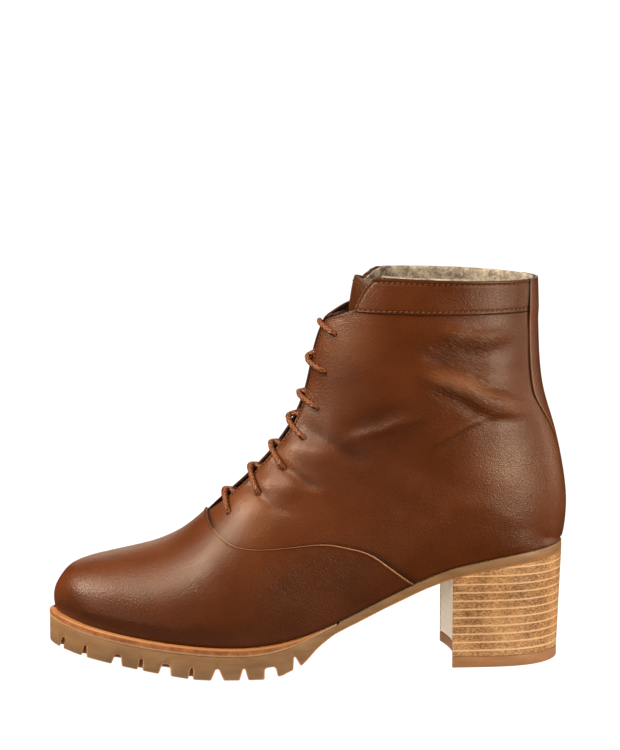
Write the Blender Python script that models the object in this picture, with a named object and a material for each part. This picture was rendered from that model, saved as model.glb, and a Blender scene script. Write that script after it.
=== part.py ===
"""A left ankle boot with laces, a lugged sole and a stacked block heel.

Sizes are millimetres until a mesh is made. x runs from the toe back to the heel, y from the
outer side (minus) to the inner side (plus) and z up from the floor.
"""

import math

import bmesh
import bpy
import numpy as np
from mathutils import Matrix, Vector

for old in list(bpy.data.objects):
    bpy.data.objects.remove(old, do_unlink=True)


def table(columns, *rows):
    """A short table as one array for each named column."""
    return dict(zip(columns.split(), np.array(rows, float).T))


# Driving dimensions
MM = 0.001
GAP = 0.3
WALL = 2.0
VAMP_RAISE = 0.6
CUFF_RAISE = 0.5
STRIP_RAISE = 0.7
STRIP_TOP_RAISE = 1.0
INSOLE_THICK = 2.6
INSOLE_GAP = 0.5
INSOLE_HEEL_GAP = 1.5
WELT_THICK = 3.6
WELT_THIN_FROM = 96.0
WELT_END = 138.0
WELT_END_THICK = 0.9
EDGE_FRONT = 3.5
EDGE_BACK = 0.6
WAIST_FROM = 108.0
WAIST_TO = 142.0
WAIST_THICK = 5.3
LUG_DEEP = 5.6
LUG_REACH = 15.0
NOTCH_BELOW = 4.0
NOTCH_SPAN = 70.0
TOE_BRIDGE = 5.0
HEEL_FRONT = 194.5
HEEL_HOLLOW = 4.0
HOLLOW_FADE = 20.0
HEEL_TAPER = 0.035
LIFT_THICK = 5.4
TONGUE_THICK = 1.8
TONGUE_HALF = 21.0
TONGUE_GAP = 0.45
TONGUE_LEAN = 8.0
TONGUE_RETURN = 2.0
EYELET_RADIUS = 1.7
EYELET_CUT = 6.0
LACE_RADIUS = 1.2

# Joint line between upper and sole, seen from the side
FEATHER_LINE = table(
    "x z",
    (2.3, 27.0), (14, 24.0), (29, 21.2), (44, 19.0), (68, 16.4), (84, 15.5), (101, 16.0),
    (114, 18.0), (127, 21.6), (139, 26.0), (159, 35.0), (181, 44.8), (193, 49.3), (205, 52.2),
    (221, 55.2), (237, 57.5), (251, 59.0))

# Half widths of the insole on the outer and inner side
INSOLE_OUTLINE = table(
    "x outer inner",
    (2.3, 0, 0), (8, 12.8, 13.8), (18, 22.6, 25.0), (32, 31.0, 34.0), (50, 37.6, 39.6),
    (70, 41.4, 41.0), (90, 42.6, 38.6), (110, 41.0, 33.8), (130, 37.2, 29.0), (150, 32.8, 25.8),
    (170, 29.8, 25.2), (190, 28.8, 26.8), (210, 28.6, 28.2), (228, 26.8, 26.8), (242, 19.6, 19.6),
    (251, 0, 0))

# Underside of the tread from the toe spring to the ramp up to the waist
TREAD_LINE = table(
    "x z",
    (-2, 11.2), (12, 8.4), (24, 6.7), (36, 5.0), (47, 3.4), (58, 1.7), (68, 0.4), (76, 0.0),
    (104, 0.0), (111, 1.7), (121, 6.2), (128.5, 14.0), (136, 19.3), (145, 23.4))

# Cross sections of the last from the toe tip to the collar. Each one lies on the line from its
# front point to its base point and has a greatest half width on both sides.
SECTIONS = table(
    "front_x front_z base_x base_z outer inner widest crown ridge",
    (2.3, 27.0, 2.3, 27.0, 0.0, 0.0, 0.28, 2.2, 0.0),
    (1.5, 32.0, 3.2, 26.8, 5.6, 5.8, 0.28, 2.2, 0.5),
    (2.4, 37.5, 6.0, 26.0, 10.9, 11.6, 0.28, 2.2, 1.0),
    (6.0, 43.4, 11.0, 24.8, 17.0, 18.6, 0.28, 2.2, 1.8),
    (13.0, 48.4, 19.0, 23.0, 24.4, 26.8, 0.27, 2.2, 2.6),
    (29.0, 52.4, 32.0, 20.7, 32.4, 35.3, 0.25, 2.15, 3.4),
    (48.5, 56.6, 50.0, 18.3, 39.2, 41.2, 0.22, 2.05, 3.4),
    (64.5, 63.8, 67.0, 16.5, 42.8, 42.6, 0.2, 2.0, 2.4),
    (77.0, 74.6, 82.0, 15.6, 44.2, 41.4, 0.2, 1.95, 1.0),
    (89.0, 86.2, 106.0, 16.7, 43.2, 37.8, 0.22, 1.9, 0.0),
    (102.5, 99.5, 139.0, 26.0, 38.4, 34.0, 0.26, 1.9, 0.0),
    (111.0, 110.0, 172.0, 40.8, 35.0, 32.8, 0.32, 1.9, 0.0),
    (117.0, 119.3, 205.0, 52.2, 33.6, 33.0, 0.365, 1.95, 0.0),
    (120.3, 126.3, 234.0, 57.1, 33.2, 33.0, 0.358, 2.0, 0.0),
    (122.0, 130.5, 246.0, 58.5, 33.0, 32.8, 0.359, 2.0, 0.0),
    (123.2, 133.8, 251.0, 59.0, 32.8, 32.6, 0.372, 2.0, 0.0),
    (124.8, 139.5, 253.2, 71.0, 32.4, 32.2, 0.403, 2.0, 0.0),
    (126.4, 147.0, 252.6, 88.0, 31.8, 31.6, 0.433, 2.0, 0.0),
    (128.4, 155.5, 247.5, 113.0, 30.8, 30.6, 0.45, 2.0, 0.0),
    (131.0, 163.3, 241.3, 133.3, 30.0, 29.8, 0.465, 2.0, 0.0),
    (134.0, 169.8, 238.7, 155.0, 29.5, 29.4, 0.475, 2.0, 0.0),
    (136.8, 175.5, 238.0, 175.5, 29.2, 29.2, 0.48, 2.0, 0.0),
    (141.5, 189.0, 237.5, 189.0, 29.0, 29.0, 0.48, 2.0, 0.0))
THROAT_ROW, HEEL_ROW, CUFF_ROW, TOP_ROW = 8, 15, 21, 22

# Rows over which the sections turn from the seat up the back of the heel
HEEL_TURN = 1.5
TURN_RINGS, TURN_PASSES, TURN_FADE = 1, 3, 0.1

# Half opening of the throat between the facings, by section row
THROAT = table(
    "row half_gap",
    (8, 0), (9, 7.2), (10, 6.8), (12, 6.9), (14, 6.0), (16, 5.5), (18, 4.6), (20, 4.5), (22, 6.0))
GIRTH_PER_GAP = 1.03

# How far the facings drop below the cuff seam towards the throat, by column share
FACING_DROP = table("share rows", (0, 1.15), (0.05, 0.3), (0.156, 0))

# Front edge of the cuff, by section row
CUFF_FRONT = table("row share", (21, 0.175), (21.55, 0.182), (21.88, 0.2))
CUFF_LEVELS = (21.0, 21.55, 22.0)

# Half width of the back strip as a share of the half girth, narrow at the heel and wide above
STRIP_NARROW, STRIP_WIDE = 0.014, 0.12
STRIP_FROM, STRIP_TO = 17.3, 19.0

# Rows of the tongue from under the vamp to its top, and where it leans back from the facings
TONGUE_ROWS = (7.75, 20, 22.08)
LEAN_FROM, LEAN_TO, RETURN_TO = 17.5, 20.5, 22.0

# Seam between vamp and quarters, by share of the half girth
VAMP_SEAM = table(
    "share row",
    (0, 8.0), (0.15, 8.02), (0.28, 8.15), (0.39, 8.45), (0.46, 8.8), (0.51, 9.25), (0.56, 9.8),
    (0.61, 10.3), (0.675, 10.65), (0.74, 10.88), (0.83, 11.0), (0.925, 11.06), (1, 11.1))

# Eyelets from the lowest to the highest
EYELETS = table(
    "row share",
    (8.7, 0.219), (9.6, 0.219), (10.55, 0.188), (11.85, 0.15), (14.25, 0.1), (17.1, 0.094),
    (19.2, 0.112))

# Rings of the upper: sole stations in front of and behind the vamp seam, then rows up the back
VAMP_STATIONS = (2.3, 2.9, 4.5, 8, 13, 20, 30, 42, 55, 68, 82, 95, 108, 120, 132, 144, 156, 166)
QUARTER_STATIONS = (184, 192, 199, 207, 216, 225, 234, 241, 246, 249.4)
BACK_ROWS = (15, 15.5, 16, 16.6, 17.2, 17.8, 18.4, 19, 19.7, 20.4, 21)
COLUMNS = (0, 0.05, 0.1, 0.156, 0.22, 0.32, 0.44, 0.56, 0.68, 0.78, 0.86, 0.92, 0.96, 0.985, 1)
CUFF_COLUMN = 3

# Notches between the lugs: place, width at the floor and at the root, and whether they run across
NOTCHES = table(
    "x floor root across",
    (4.6, 1.8, 1.4, 0), (15.5, 2.6, 1.2, 0), (31.2, 5.4, 3.0, 1), (42.4, 2.6, 1.4, 0),
    (54.2, 6.2, 4.0, 1), (66.6, 2.4, 1.2, 0), (79.4, 6.6, 2.4, 1), (92.2, 4.4, 1.6, 0),
    (105.4, 6.8, 5.6, 1), (118.0, 4.0, 1.0, 0))

# A lace strand: share of the rise to the next eyelet, of the way to the facing edge, and its lift
STRAND = table("rise way lift", (0, 0, 1.75), (0.25, 0.5, 1.95), (0.5, 1, 1.75))
MIDDLE_LIFT, PAST_LIFT = 0.6, 0.2


def spline(at, knots, values):
    """Smooth curve through the rows of a table, straight beyond its ends."""
    gaps = np.diff(knots)
    slopes = np.diff(values) / gaps
    count = len(knots)
    system = np.eye(count)
    load = np.zeros(count)
    for k in range(1, count - 1):
        system[k, k - 1:k + 2] = gaps[k - 1], 2 * (gaps[k - 1] + gaps[k]), gaps[k]
        load[k] = 6 * (slopes[k] - slopes[k - 1])
    bend = np.linalg.solve(system, load)
    at = np.asarray(at, float)
    inside = np.clip(at, knots[0], knots[-1])
    k = np.clip(np.searchsorted(knots, inside, side="right") - 1, 0, count - 2)
    wide, left, right = gaps[k], inside - knots[k], knots[k + 1] - inside
    curve = (bend[k] * right ** 3 + bend[k + 1] * left ** 3) / (6 * wide)
    curve = curve + (values[k] / wide - bend[k] * wide / 6) * right
    curve = curve + (values[k + 1] / wide - bend[k + 1] * wide / 6) * left
    first = slopes[0] - gaps[0] * (2 * bend[0] + bend[1]) / 6
    last = slopes[-1] + gaps[-1] * (bend[-2] + 2 * bend[-1]) / 6
    return curve + np.where(at < knots[0], first, last) * (at - inside)


def ease(u):
    """Rise from 0 to 1 with level ends."""
    u = np.clip(u, 0, 1)
    return u * u * (3 - 2 * u)


def feather(x):
    """Height of the joint between upper and sole."""
    return spline(x, FEATHER_LINE["x"], FEATHER_LINE["z"])


def half_width(x, side):
    """Half width of the insole, round at both ends."""
    return np.sqrt(np.maximum(0, spline(x, INSOLE_OUTLINE["x"], INSOLE_OUTLINE[side] ** 2)))


# Surface of the last
def section(row):
    """Named sizes of the cross section at a row, between table rows too."""
    rows = np.arange(TOP_ROW + 1.0)
    turn = np.abs(row - HEEL_ROW) / HEEL_TURN
    slow = HEEL_ROW + np.sign(row - HEEL_ROW) * HEEL_TURN * turn ** 2 * (2 - turn)
    base_row = np.where(turn < 1, slow, row)
    cut = {name: spline(row, rows, column) for name, column in SECTIONS.items()}
    for name in ("base_x", "base_z"):
        cut[name] = spline(base_row, rows, SECTIONS[name])
    cut["on_sole"] = row <= HEEL_ROW
    cut["base_z"] = np.where(cut["on_sole"], feather(cut["base_x"]), cut["base_z"])
    return cut


def profile(cut, angle, wide, base_angle, sign):
    """Place along the section line and across it, from the front (0) round to the base."""
    fore = angle <= math.pi / 2
    lengthwise = np.abs(np.cos(angle))
    sideways = np.abs(np.sin(angle))
    crown = lengthwise ** (2 / cut["crown"])
    top = cut["widest"] + (1 - cut["widest"]) * crown
    low = cut["widest"] * (1 - lengthwise / np.abs(np.cos(base_angle)))
    along = np.where(fore, top, low)
    across = np.where(fore, sideways ** (2 / cut["crown"]), sideways)
    return along, sign * wide * across + np.where(fore, cut["ridge"] * crown, 0)


def skin(row, share, side):
    """Points of the last at a section row and a share of its half girth."""
    row, share = np.broadcast_arrays(np.asarray(row, float), np.asarray(share, float))
    shape = row.shape
    row, share = row.ravel(), share.ravel()
    sign = -1 if side == "outer" else 1
    cut = section(row)
    edge = np.where(cut["on_sole"], half_width(cut["base_x"], side), 0)
    wide = np.maximum(cut[side], 1.005 * edge)
    base_angle = math.pi - np.arcsin(edge / np.maximum(wide, 1e-9))
    run_x, run_z = cut["front_x"] - cut["base_x"], cut["front_z"] - cut["base_z"]
    angles = np.linspace(0, 1, 49)[None, :] * base_angle[:, None]
    tall = {name: column[:, None] for name, column in cut.items()}
    along, across = profile(tall, angles, wide[:, None], base_angle[:, None], sign)
    step = np.hypot(np.diff(along) * np.hypot(run_x, run_z)[:, None], np.diff(across))
    length = np.concatenate([np.zeros((len(row), 1)), np.cumsum(step, 1)], 1)
    goal = share * length[:, -1]
    k = np.clip((length < goal[:, None]).sum(1), 1, angles.shape[1] - 1)[:, None]
    low, high = np.take_along_axis(length, k - 1, 1)[:, 0], np.take_along_axis(length, k, 1)[:, 0]
    part = np.clip((goal - low) / np.maximum(high - low, 1e-12), 0, 1)
    angle = (k[:, 0] - 1 + part) / (angles.shape[1] - 1) * base_angle
    along, across = profile(cut, angle, wide, base_angle, sign)
    points = [cut["base_x"] + along * run_x, across, cut["base_z"] + along * run_z]
    return np.stack(points, -1).reshape(shape + (3,))


def outward(row, share, side):
    """Unit normals of the last, level with the sole along the feather edge."""
    row, share = np.broadcast_arrays(np.asarray(row, float), np.asarray(share, float))
    ahead, behind = row + 0.03, np.maximum(row - 0.03, 0.03)
    lengthwise = skin(ahead, share, side) - skin(behind, share, side)
    below, above = np.minimum(share + 0.005, 1), np.maximum(share - 0.005, 0)
    around = skin(row, below, side) - skin(row, above, side)
    normal = np.cross(around, lengthwise) * (1 if side == "outer" else -1)
    level = np.stack([-lengthwise[..., 2], 0 * share, lengthwise[..., 0]], -1)
    normal = np.where((share <= 0)[..., None], level, normal)
    normal = np.where(((share >= 1) & (row >= HEEL_ROW))[..., None], -level, normal)
    base = section(row.ravel())["base_x"].reshape(row.shape)
    slope = (feather(base + 1) - feather(base - 1)) / 2
    floor = np.stack([-slope, 0 * slope, 1 + 0 * slope], -1)
    floor /= np.linalg.norm(floor, axis=-1, keepdims=True)
    start = np.where(row <= VAMP_SEAM["row"][-1], 0.95, 1)
    at_edge = ((share >= start) & (row <= HEEL_ROW + 1e-6))[..., None]
    dip = (normal * floor).sum(-1, keepdims=True)
    dip = np.where((share >= 1)[..., None], dip, np.minimum(dip, 0))
    normal = np.where(at_edge, normal - dip * floor, normal)
    normal = np.where((row <= 1e-6)[..., None], np.array([-1.0, 0, 0]), normal)
    return normal / np.maximum(np.linalg.norm(normal, axis=-1, keepdims=True), 1e-12)


def half_girth(row, side):
    """Length of a section from the front line to the base."""
    path = skin(np.asarray(row, float)[..., None], np.linspace(0, 1, 60), side)
    return np.linalg.norm(np.diff(path, axis=-2), axis=-1).sum(-1)


def throat_share(row, side):
    """Share of the half girth where the facing edge runs."""
    gap = np.sqrt(np.maximum(0, spline(row, THROAT["row"], THROAT["half_gap"] ** 2)))
    return np.where(row > THROAT_ROW, gap * GIRTH_PER_GAP / half_girth(row, side), 0)


def strip_share(row):
    """Half width of the back strip as a share of the half girth."""
    rise = ease((row - STRIP_FROM) / (STRIP_TO - STRIP_FROM))
    return STRIP_NARROW + (STRIP_WIDE - STRIP_NARROW) * rise


def seam_row(share):
    """Section row of the vamp seam."""
    return spline(share, VAMP_SEAM["share"], VAMP_SEAM["row"])


def station_row(x):
    """Section row whose base point stands at a station of the sole."""
    rows = np.linspace(0, HEEL_ROW, 1501)
    return np.interp(x, section(rows)["base_x"], rows)


# Mesh helpers
MADE = []


def finish(name, mesh, colour, rough):
    """Put a mesh into the scene as a smooth named object with its own material."""
    bmesh.ops.recalc_face_normals(mesh, faces=mesh.faces)
    data = bpy.data.meshes.new(name)
    mesh.to_mesh(data)
    mesh.free()
    thing = bpy.data.objects.new(name, data)
    bpy.context.scene.collection.objects.link(thing)
    material = bpy.data.materials.new(name)
    material.use_nodes = True
    shader = material.node_tree.nodes["Principled BSDF"]
    shader.inputs["Base Color"].default_value = (*colour, 1)
    shader.inputs["Roughness"].default_value = rough
    data.materials.append(material)
    data.shade_smooth()
    data.set_sharp_from_angle(angle=math.radians(40))
    MADE.append(thing)
    return thing


def solid_between(faces, front, back):
    """Closed mesh from one list of faces, a front and a back skin, and a rim along open edges."""
    mesh = bmesh.new()
    known = {}

    def corner(skin_name, point):
        key = (skin_name, *np.round(point, 3))
        if key not in known:
            known[key] = mesh.verts.new(Vector(point) * MM)
        return known[key]

    def add(corners):
        ring = [c for k, c in enumerate(corners) if c is not corners[k - 1]]
        if len(set(ring)) >= 3:
            mesh.faces.new(ring)

    uses = {}
    for face in faces:
        near = [corner("front", front[k]) for k in face]
        far = [corner("back", back[k]) for k in face]
        add(near)
        add(far[::-1])
        for k in range(len(face)):
            edge = (near[k - 1], near[k])
            if edge[0] is not edge[1]:
                uses.setdefault(frozenset(edge), []).append((edge, (far[k - 1], far[k])))
    for seen in uses.values():
        if len(seen) == 1:
            (a, b), (c, d) = seen[0]
            add([b, a, c, d])
    return mesh


def grid_faces(tall, wide, start=0):
    """Quads of a grid of points stored row by row."""
    corner = [start + r * wide + c for r in range(tall - 1) for c in range(wide - 1)]
    return [(k, k + 1, k + wide + 1, k + wide) for k in corner]


def grid_solid(front, back):
    """Closed mesh between two grids of points."""
    tall, wide = front.shape[:2]
    return solid_between(grid_faces(tall, wide), front.reshape(-1, 3), back.reshape(-1, 3))


def subtract(target, cutter):
    """Cut one object from another and take the cutter out of the scene."""
    cutter.hide_render = True
    cutter.display_type = "WIRE"
    combine(target, cutter, "DIFFERENCE")


def combine(target, tool, operation):
    """Apply an exact Boolean and remove the tool."""
    modifier = target.modifiers.new(operation.title(), "BOOLEAN")
    modifier.operation = operation
    modifier.solver = "EXACT"
    modifier.object = tool
    depsgraph = bpy.context.evaluated_depsgraph_get()
    result = bpy.data.meshes.new_from_object(target.evaluated_get(depsgraph))
    target.modifiers.clear()
    target.data = result
    if tool in MADE:
        MADE.remove(tool)
    bpy.data.objects.remove(tool, do_unlink=True)


# Upper: vamp, quarters with facings, cuff and back strip in one shell
def upper_rings(side):
    """Section row, girth share and raise of every vertex of one side, ring by ring."""
    columns = np.array(COLUMNS)
    seam_end = seam_row(1.0)

    def spread(first_share, row):
        edge = 1 - strip_share(row)
        return first_share + (edge - first_share) * columns

    def ring(rows, shares, raises, strip_row, strip_raise):
        tail_share = np.array([shares[-1], (shares[-1] + 1) / 2, 1.0])
        tail_raise = np.full(3, strip_raise)
        tail_row = np.array([rows[-1], (rows[-1] + strip_row) / 2, strip_row])
        return (np.concatenate([rows, tail_row]), np.concatenate([shares, tail_share]),
                np.concatenate([raises, tail_raise]))

    rings = []
    flat = np.zeros(len(columns))
    for base in list(station_row(np.array(VAMP_STATIONS))) + [seam_end]:
        part = base / seam_end
        rows = np.full(len(columns), base)
        for _ in range(5):
            shares = spread(0, rows)
            rows = part * seam_row(shares)
        rings.append(ring(rows, shares, flat + VAMP_RAISE, base, VAMP_RAISE))
    top = CUFF_ROW - np.interp(columns, FACING_DROP["share"], FACING_DROP["rows"])
    for base in [seam_end] + list(station_row(np.array(QUARTER_STATIONS))) + list(BACK_ROWS):
        part = (base - seam_end) / (CUFF_ROW - seam_end)
        rows = np.full(len(columns), base)
        for _ in range(12):
            shares = spread(throat_share(rows, side), rows)
            lower = seam_row(shares)
            rows = lower + part * (top - lower)
        growth = 0.5 + 0.5 * ease((base - STRIP_FROM) / (STRIP_TO - STRIP_FROM))
        strip_raise = 0 if base < HEEL_ROW else STRIP_RAISE * growth
        rings.append(ring(rows, shares, flat, base, strip_raise))
    scale = (columns[CUFF_COLUMN:] - columns[CUFF_COLUMN]) / (1 - columns[CUFF_COLUMN])
    for level, front_row, front_share in zip(CUFF_LEVELS, *CUFF_FRONT.values()):
        rows = np.full(len(columns), level)
        rows[:CUFF_COLUMN + 1] = front_row
        shares = spread(0, rows)
        shares[CUFF_COLUMN:] = front_share + (shares[-1] - front_share) * scale
        rings.append(ring(rows, shares, flat + CUFF_RAISE, level, STRIP_TOP_RAISE))
    return [np.array(column) for column in zip(*rings)]


def even_turn(grid, shares):
    """Even out the rings next to the heel turn, but not their ends at the seat."""
    middle = len(VAMP_STATIONS) + len(QUARTER_STATIONS) + 2
    near = np.arange(middle - TURN_RINGS, middle + TURN_RINGS + 1)
    hold = ease((1 - shares[near]) / TURN_FADE)[..., None]
    for _ in range(TURN_PASSES):
        mean = (grid[near - 1] + grid[near + 1]) / 2
        grid[near] += hold * (mean - grid[near]) / 2
    return grid


faces, fronts, backs = [], [], []
for side in ("outer", "inner"):
    rows, shares, raises = upper_rings(side)
    tall, wide = rows.shape
    start = sum(len(points) for points in fronts)
    surface = even_turn(skin(rows, shares, side), shares)
    normal = even_turn(outward(rows, shares, side), shares)
    fronts.append((surface + raises[..., None] * normal).reshape(-1, 3))
    backs.append((surface - WALL * normal).reshape(-1, 3))
    cuff_start = tall - len(CUFF_LEVELS)
    for k, face in enumerate(grid_faces(tall, wide, start)):
        r, c = divmod(k, wide - 1)
        if r >= cuff_start - 1 and c < CUFF_COLUMN:
            continue
        faces.append(face if side == "outer" else face[::-1])
shell = solid_between(faces, np.concatenate(fronts), np.concatenate(backs))
upper = finish("upper", shell, (0.12, 0.035, 0.012), 0.45)

holes = bmesh.new()
for side in ("outer", "inner"):
    centres = skin(EYELETS["row"], EYELETS["share"], side)
    normals = outward(EYELETS["row"], EYELETS["share"], side)
    for centre, normal in zip(centres, normals):
        turn = Vector((0, 0, 1)).rotation_difference(Vector(normal)).to_matrix().to_4x4()
        place = Matrix.Translation(Vector(centre - WALL / 2 * normal) * MM) @ turn
        bmesh.ops.create_cone(
            holes, cap_ends=True, segments=10, radius1=EYELET_RADIUS * MM,
            radius2=EYELET_RADIUS * MM, depth=EYELET_CUT * MM, matrix=place)
subtract(upper, finish("eyelet_cutter", holes, (0, 0, 0), 1))


# Tongue, set back from the facings towards its top
low_row, free_row, top_row = TONGUE_ROWS
rows = np.append(np.linspace(low_row, free_row, 17), np.linspace(free_row, top_row, 5)[1:])
lean = TONGUE_LEAN * ease((rows - LEAN_FROM) / (LEAN_TO - LEAN_FROM))
lean = lean - TONGUE_RETURN * ease((rows - LEAN_TO) / (RETURN_TO - LEAN_TO))
skins = []
for depth in (WALL + TONGUE_GAP, WALL + TONGUE_GAP + TONGUE_THICK):
    halves = []
    for side in ("outer", "inner"):
        share = np.linspace(1, 0, 6)[None, :] * (TONGUE_HALF / half_girth(rows, side))[:, None]
        normal = outward(np.minimum(rows, TOP_ROW - 0.1)[:, None], share, side)
        halves.append(skin(rows[:, None], share, side) - (depth + lean)[:, None, None] * normal)
    skins.append(np.concatenate([halves[0], halves[1][:, -2::-1]], 1))
tongue = finish("tongue", grid_solid(*skins), (0.07, 0.022, 0.01), 0.6)


# Sole pieces
SEAM_STATION = float(section(np.array(seam_row(1.0)))["base_x"])
HEEL_END = INSOLE_OUTLINE["x"][-1]
STATIONS = np.array([*VAMP_STATIONS, SEAM_STATION, *QUARTER_STATIONS, HEEL_END])


def outline(stations, margin):
    """Edge points of the insole outline on both sides, let out by a margin along its normal."""
    outer = np.stack([stations, -half_width(stations, "outer")], -1)
    inner = np.stack([stations, half_width(stations, "inner")], -1)
    loop = np.concatenate([outer, inner[-2:0:-1]])
    along = np.roll(loop, -1, 0) - np.roll(loop, 1, 0)
    normal = np.stack([along[:, 1], -along[:, 0]], -1)
    normal /= np.linalg.norm(normal, axis=1, keepdims=True)
    reach = margin(loop[:, 0]) if callable(margin) else margin
    moved = loop + normal * np.reshape(reach, (-1, 1))
    count = len(stations)
    return moved[:count], np.concatenate([moved[:1], moved[:count - 1:-1], moved[count - 1:count]])


def edge_margin(x):
    """How far welt and outsole stand out past the upper."""
    return EDGE_FRONT + (EDGE_BACK - EDGE_FRONT) * ease((x - WAIST_FROM) / (WAIST_TO - WAIST_FROM))


def welt_thick(x):
    """Welt thickness, thinning out at the waist."""
    thinning = ease((x - WELT_THIN_FROM) / (WELT_END - WELT_THIN_FROM))
    return WELT_THICK + (WELT_END_THICK - WELT_THICK) * thinning


def underside(x):
    """Bottom of the outsole, lugs included."""
    line_x, line_z = TREAD_LINE["x"], TREAD_LINE["z"]
    flat_from = int(np.argmin(line_z))
    straight = np.interp(x, line_x, line_z)
    spring = np.maximum(spline(x, line_x[:flat_from + 1], line_z[:flat_from + 1]), 0)
    waist = feather(x) - WAIST_THICK
    return np.where(x < line_x[flat_from], spring, np.where(x < line_x[-1], straight, waist))


def plate(pair, heights):
    """Closed mesh of a sole plate between its two edges, from the heights over each edge point."""
    ribs = np.stack(pair, 1)
    skins = []
    for level in heights:
        skins.append(np.concatenate([ribs, level(ribs[..., 0])[..., None]], -1))
    return grid_solid(*skins)


def insole_margin(x):
    """How far the insole stays inside the feather edge, a little more round the heel."""
    heel_part = ease((x - QUARTER_STATIONS[-5]) / (QUARTER_STATIONS[-2] - QUARTER_STATIONS[-5]))
    return -(WALL + INSOLE_GAP + (INSOLE_HEEL_GAP - INSOLE_GAP) * heel_part)


insole_mesh = plate(outline(STATIONS, insole_margin), (lambda x: feather(x) + INSOLE_THICK, feather))
insole = finish("insole", insole_mesh, (0.3, 0.2, 0.13), 0.8)

welt_stations = np.append(STATIONS[STATIONS < WELT_END - 4], WELT_END)
whole_edges = outline(np.append(welt_stations, STATIONS[STATIONS > WELT_END]), edge_margin)
welt_edges = [edge[:len(welt_stations)] for edge in whole_edges]
welt_levels = (lambda x: feather(x) - GAP, lambda x: feather(x) - GAP - welt_thick(x))
welt = finish("welt", plate(welt_edges, welt_levels), (0.45, 0.19, 0.07), 0.5)

welt_step = (WELT_END + GAP, WELT_END + 2 * GAP)
tread_stations = TREAD_LINE["x"][TREAD_LINE["x"] > STATIONS[0]]
sole_stations = np.unique(np.concatenate([STATIONS, tread_stations, welt_step]))
sole_stations = sole_stations[np.append(True, np.diff(sole_stations) > GAP / 2)]
sole_edges = outline(sole_stations, edge_margin)
under_welt = sole_stations < sum(welt_step) / 2
ribs = np.stack(sole_edges, 1)
top = feather(ribs[..., 0]) - GAP - np.where(under_welt[:, None], welt_thick(ribs[..., 0]) + GAP, 0)
sole_top = np.concatenate([ribs, top[..., None]], -1)
sole_bottom = np.concatenate([ribs, underside(ribs[..., 0])[..., None]], -1)
outsole = finish("outsole", grid_solid(sole_top, sole_bottom), (0.3, 0.15, 0.055), 0.5)

cutters = bmesh.new()
for x, floor, root, across in zip(*NOTCHES.values()):
    slope = float(underside(np.array(x + 2)) - underside(np.array(x - 2))) / 4
    slope = slope / 2 if slope > 0 else slope
    up = np.array([-slope, 1.0]) / math.hypot(slope, 1)
    foot = np.array([x, float(underside(np.array(x)))])
    flat = np.array([up[1], -up[0]])
    low, high = foot - NOTCH_BELOW * up, foot + LUG_DEEP * up
    flare = flat * (floor + (floor - root) * NOTCH_BELOW / LUG_DEEP) / 2
    taper = flat * root / 2
    corners = [low - flare, low + flare, high + taper, high - taper]
    stop_outer = max(TOE_BRIDGE, float(half_width(np.array(x), "outer")) - LUG_REACH)
    stop_inner = max(TOE_BRIDGE, float(half_width(np.array(x), "inner")) - LUG_REACH)
    side_spans = [(-NOTCH_SPAN, -stop_outer), (stop_inner, NOTCH_SPAN)]
    for start, end in [(-NOTCH_SPAN, NOTCH_SPAN)] if across else side_spans:
        near = [cutters.verts.new(Vector((c[0], start, c[1])) * MM) for c in corners]
        far = [cutters.verts.new(Vector((c[0], end, c[1])) * MM) for c in corners]
        cutters.faces.new(near)
        cutters.faces.new(far[::-1])
        for k in range(4):
            cutters.faces.new([near[k], near[k - 1], far[k - 1], far[k]])
subtract(outsole, finish("notch_cutter", cutters, (0, 0, 0), 1))

heel_stations = np.append(HEEL_FRONT, STATIONS[STATIONS > HEEL_FRONT + 2])
heel_edges = outline(np.append(STATIONS[STATIONS < HEEL_FRONT - 2], heel_stations), edge_margin)
heel_edges = [edge[-len(heel_stations):] for edge in heel_edges]


def heel_level(height, shrink):
    """Grid of heel points, with a hollow front, drawn in towards the front and the middle."""
    share = np.linspace(0, 1, 9)[None, :]
    x = heel_edges[0][:, :1] * (1 - share) + heel_edges[1][:, :1] * share
    y = heel_edges[0][:, 1:] * (1 - share) + heel_edges[1][:, 1:] * share
    fade = np.clip(1 - (heel_stations - HEEL_FRONT) / HOLLOW_FADE, 0, 1)[:, None]
    x = x + HEEL_HOLLOW * fade * (1 - (2 * share - 1) ** 2)
    x = HEEL_FRONT + (x - HEEL_FRONT) * (1 - shrink)
    y = y * (1 - shrink)
    return np.stack([x, y, height(x)], -1)


heel_top = heel_level(lambda x: underside(x) - GAP, 0)
heel_foot = heel_level(lambda x: 0 * x + LIFT_THICK + GAP, HEEL_TAPER)
heel = finish("heel", grid_solid(heel_top, heel_foot), (0.36, 0.2, 0.09), 0.5)
lift_top = heel_level(lambda x: 0 * x + LIFT_THICK, HEEL_TAPER)
lift_foot = heel_level(lambda x: 0 * x, HEEL_TAPER)
top_lift = finish("top_lift", grid_solid(lift_top, lift_foot), (0.33, 0.17, 0.08), 0.6)


# Lace crossings over the throat, one for each pair of eyelets
def tube(path):
    """Closed six sided tube along a path of points."""
    mesh = bmesh.new()
    rings = []
    along = np.gradient(path, axis=0)
    for point, ahead in zip(path, along):
        ahead = Vector(ahead).normalized()
        turn = Vector((0, 0, 1)).rotation_difference(ahead).to_matrix()
        spokes = [k * math.pi / 3 for k in range(6)]
        spin = [turn @ Vector((math.cos(a), math.sin(a), 0)) * LACE_RADIUS for a in spokes]
        rings.append([mesh.verts.new((Vector(point) + offset) * MM) for offset in spin])
    for low, high in zip(rings, rings[1:]):
        for k in range(6):
            mesh.faces.new([low[k - 1], low[k], high[k], high[k - 1]])
    mesh.faces.new(rings[0][::-1])
    mesh.faces.new(rings[-1])
    return mesh


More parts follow.
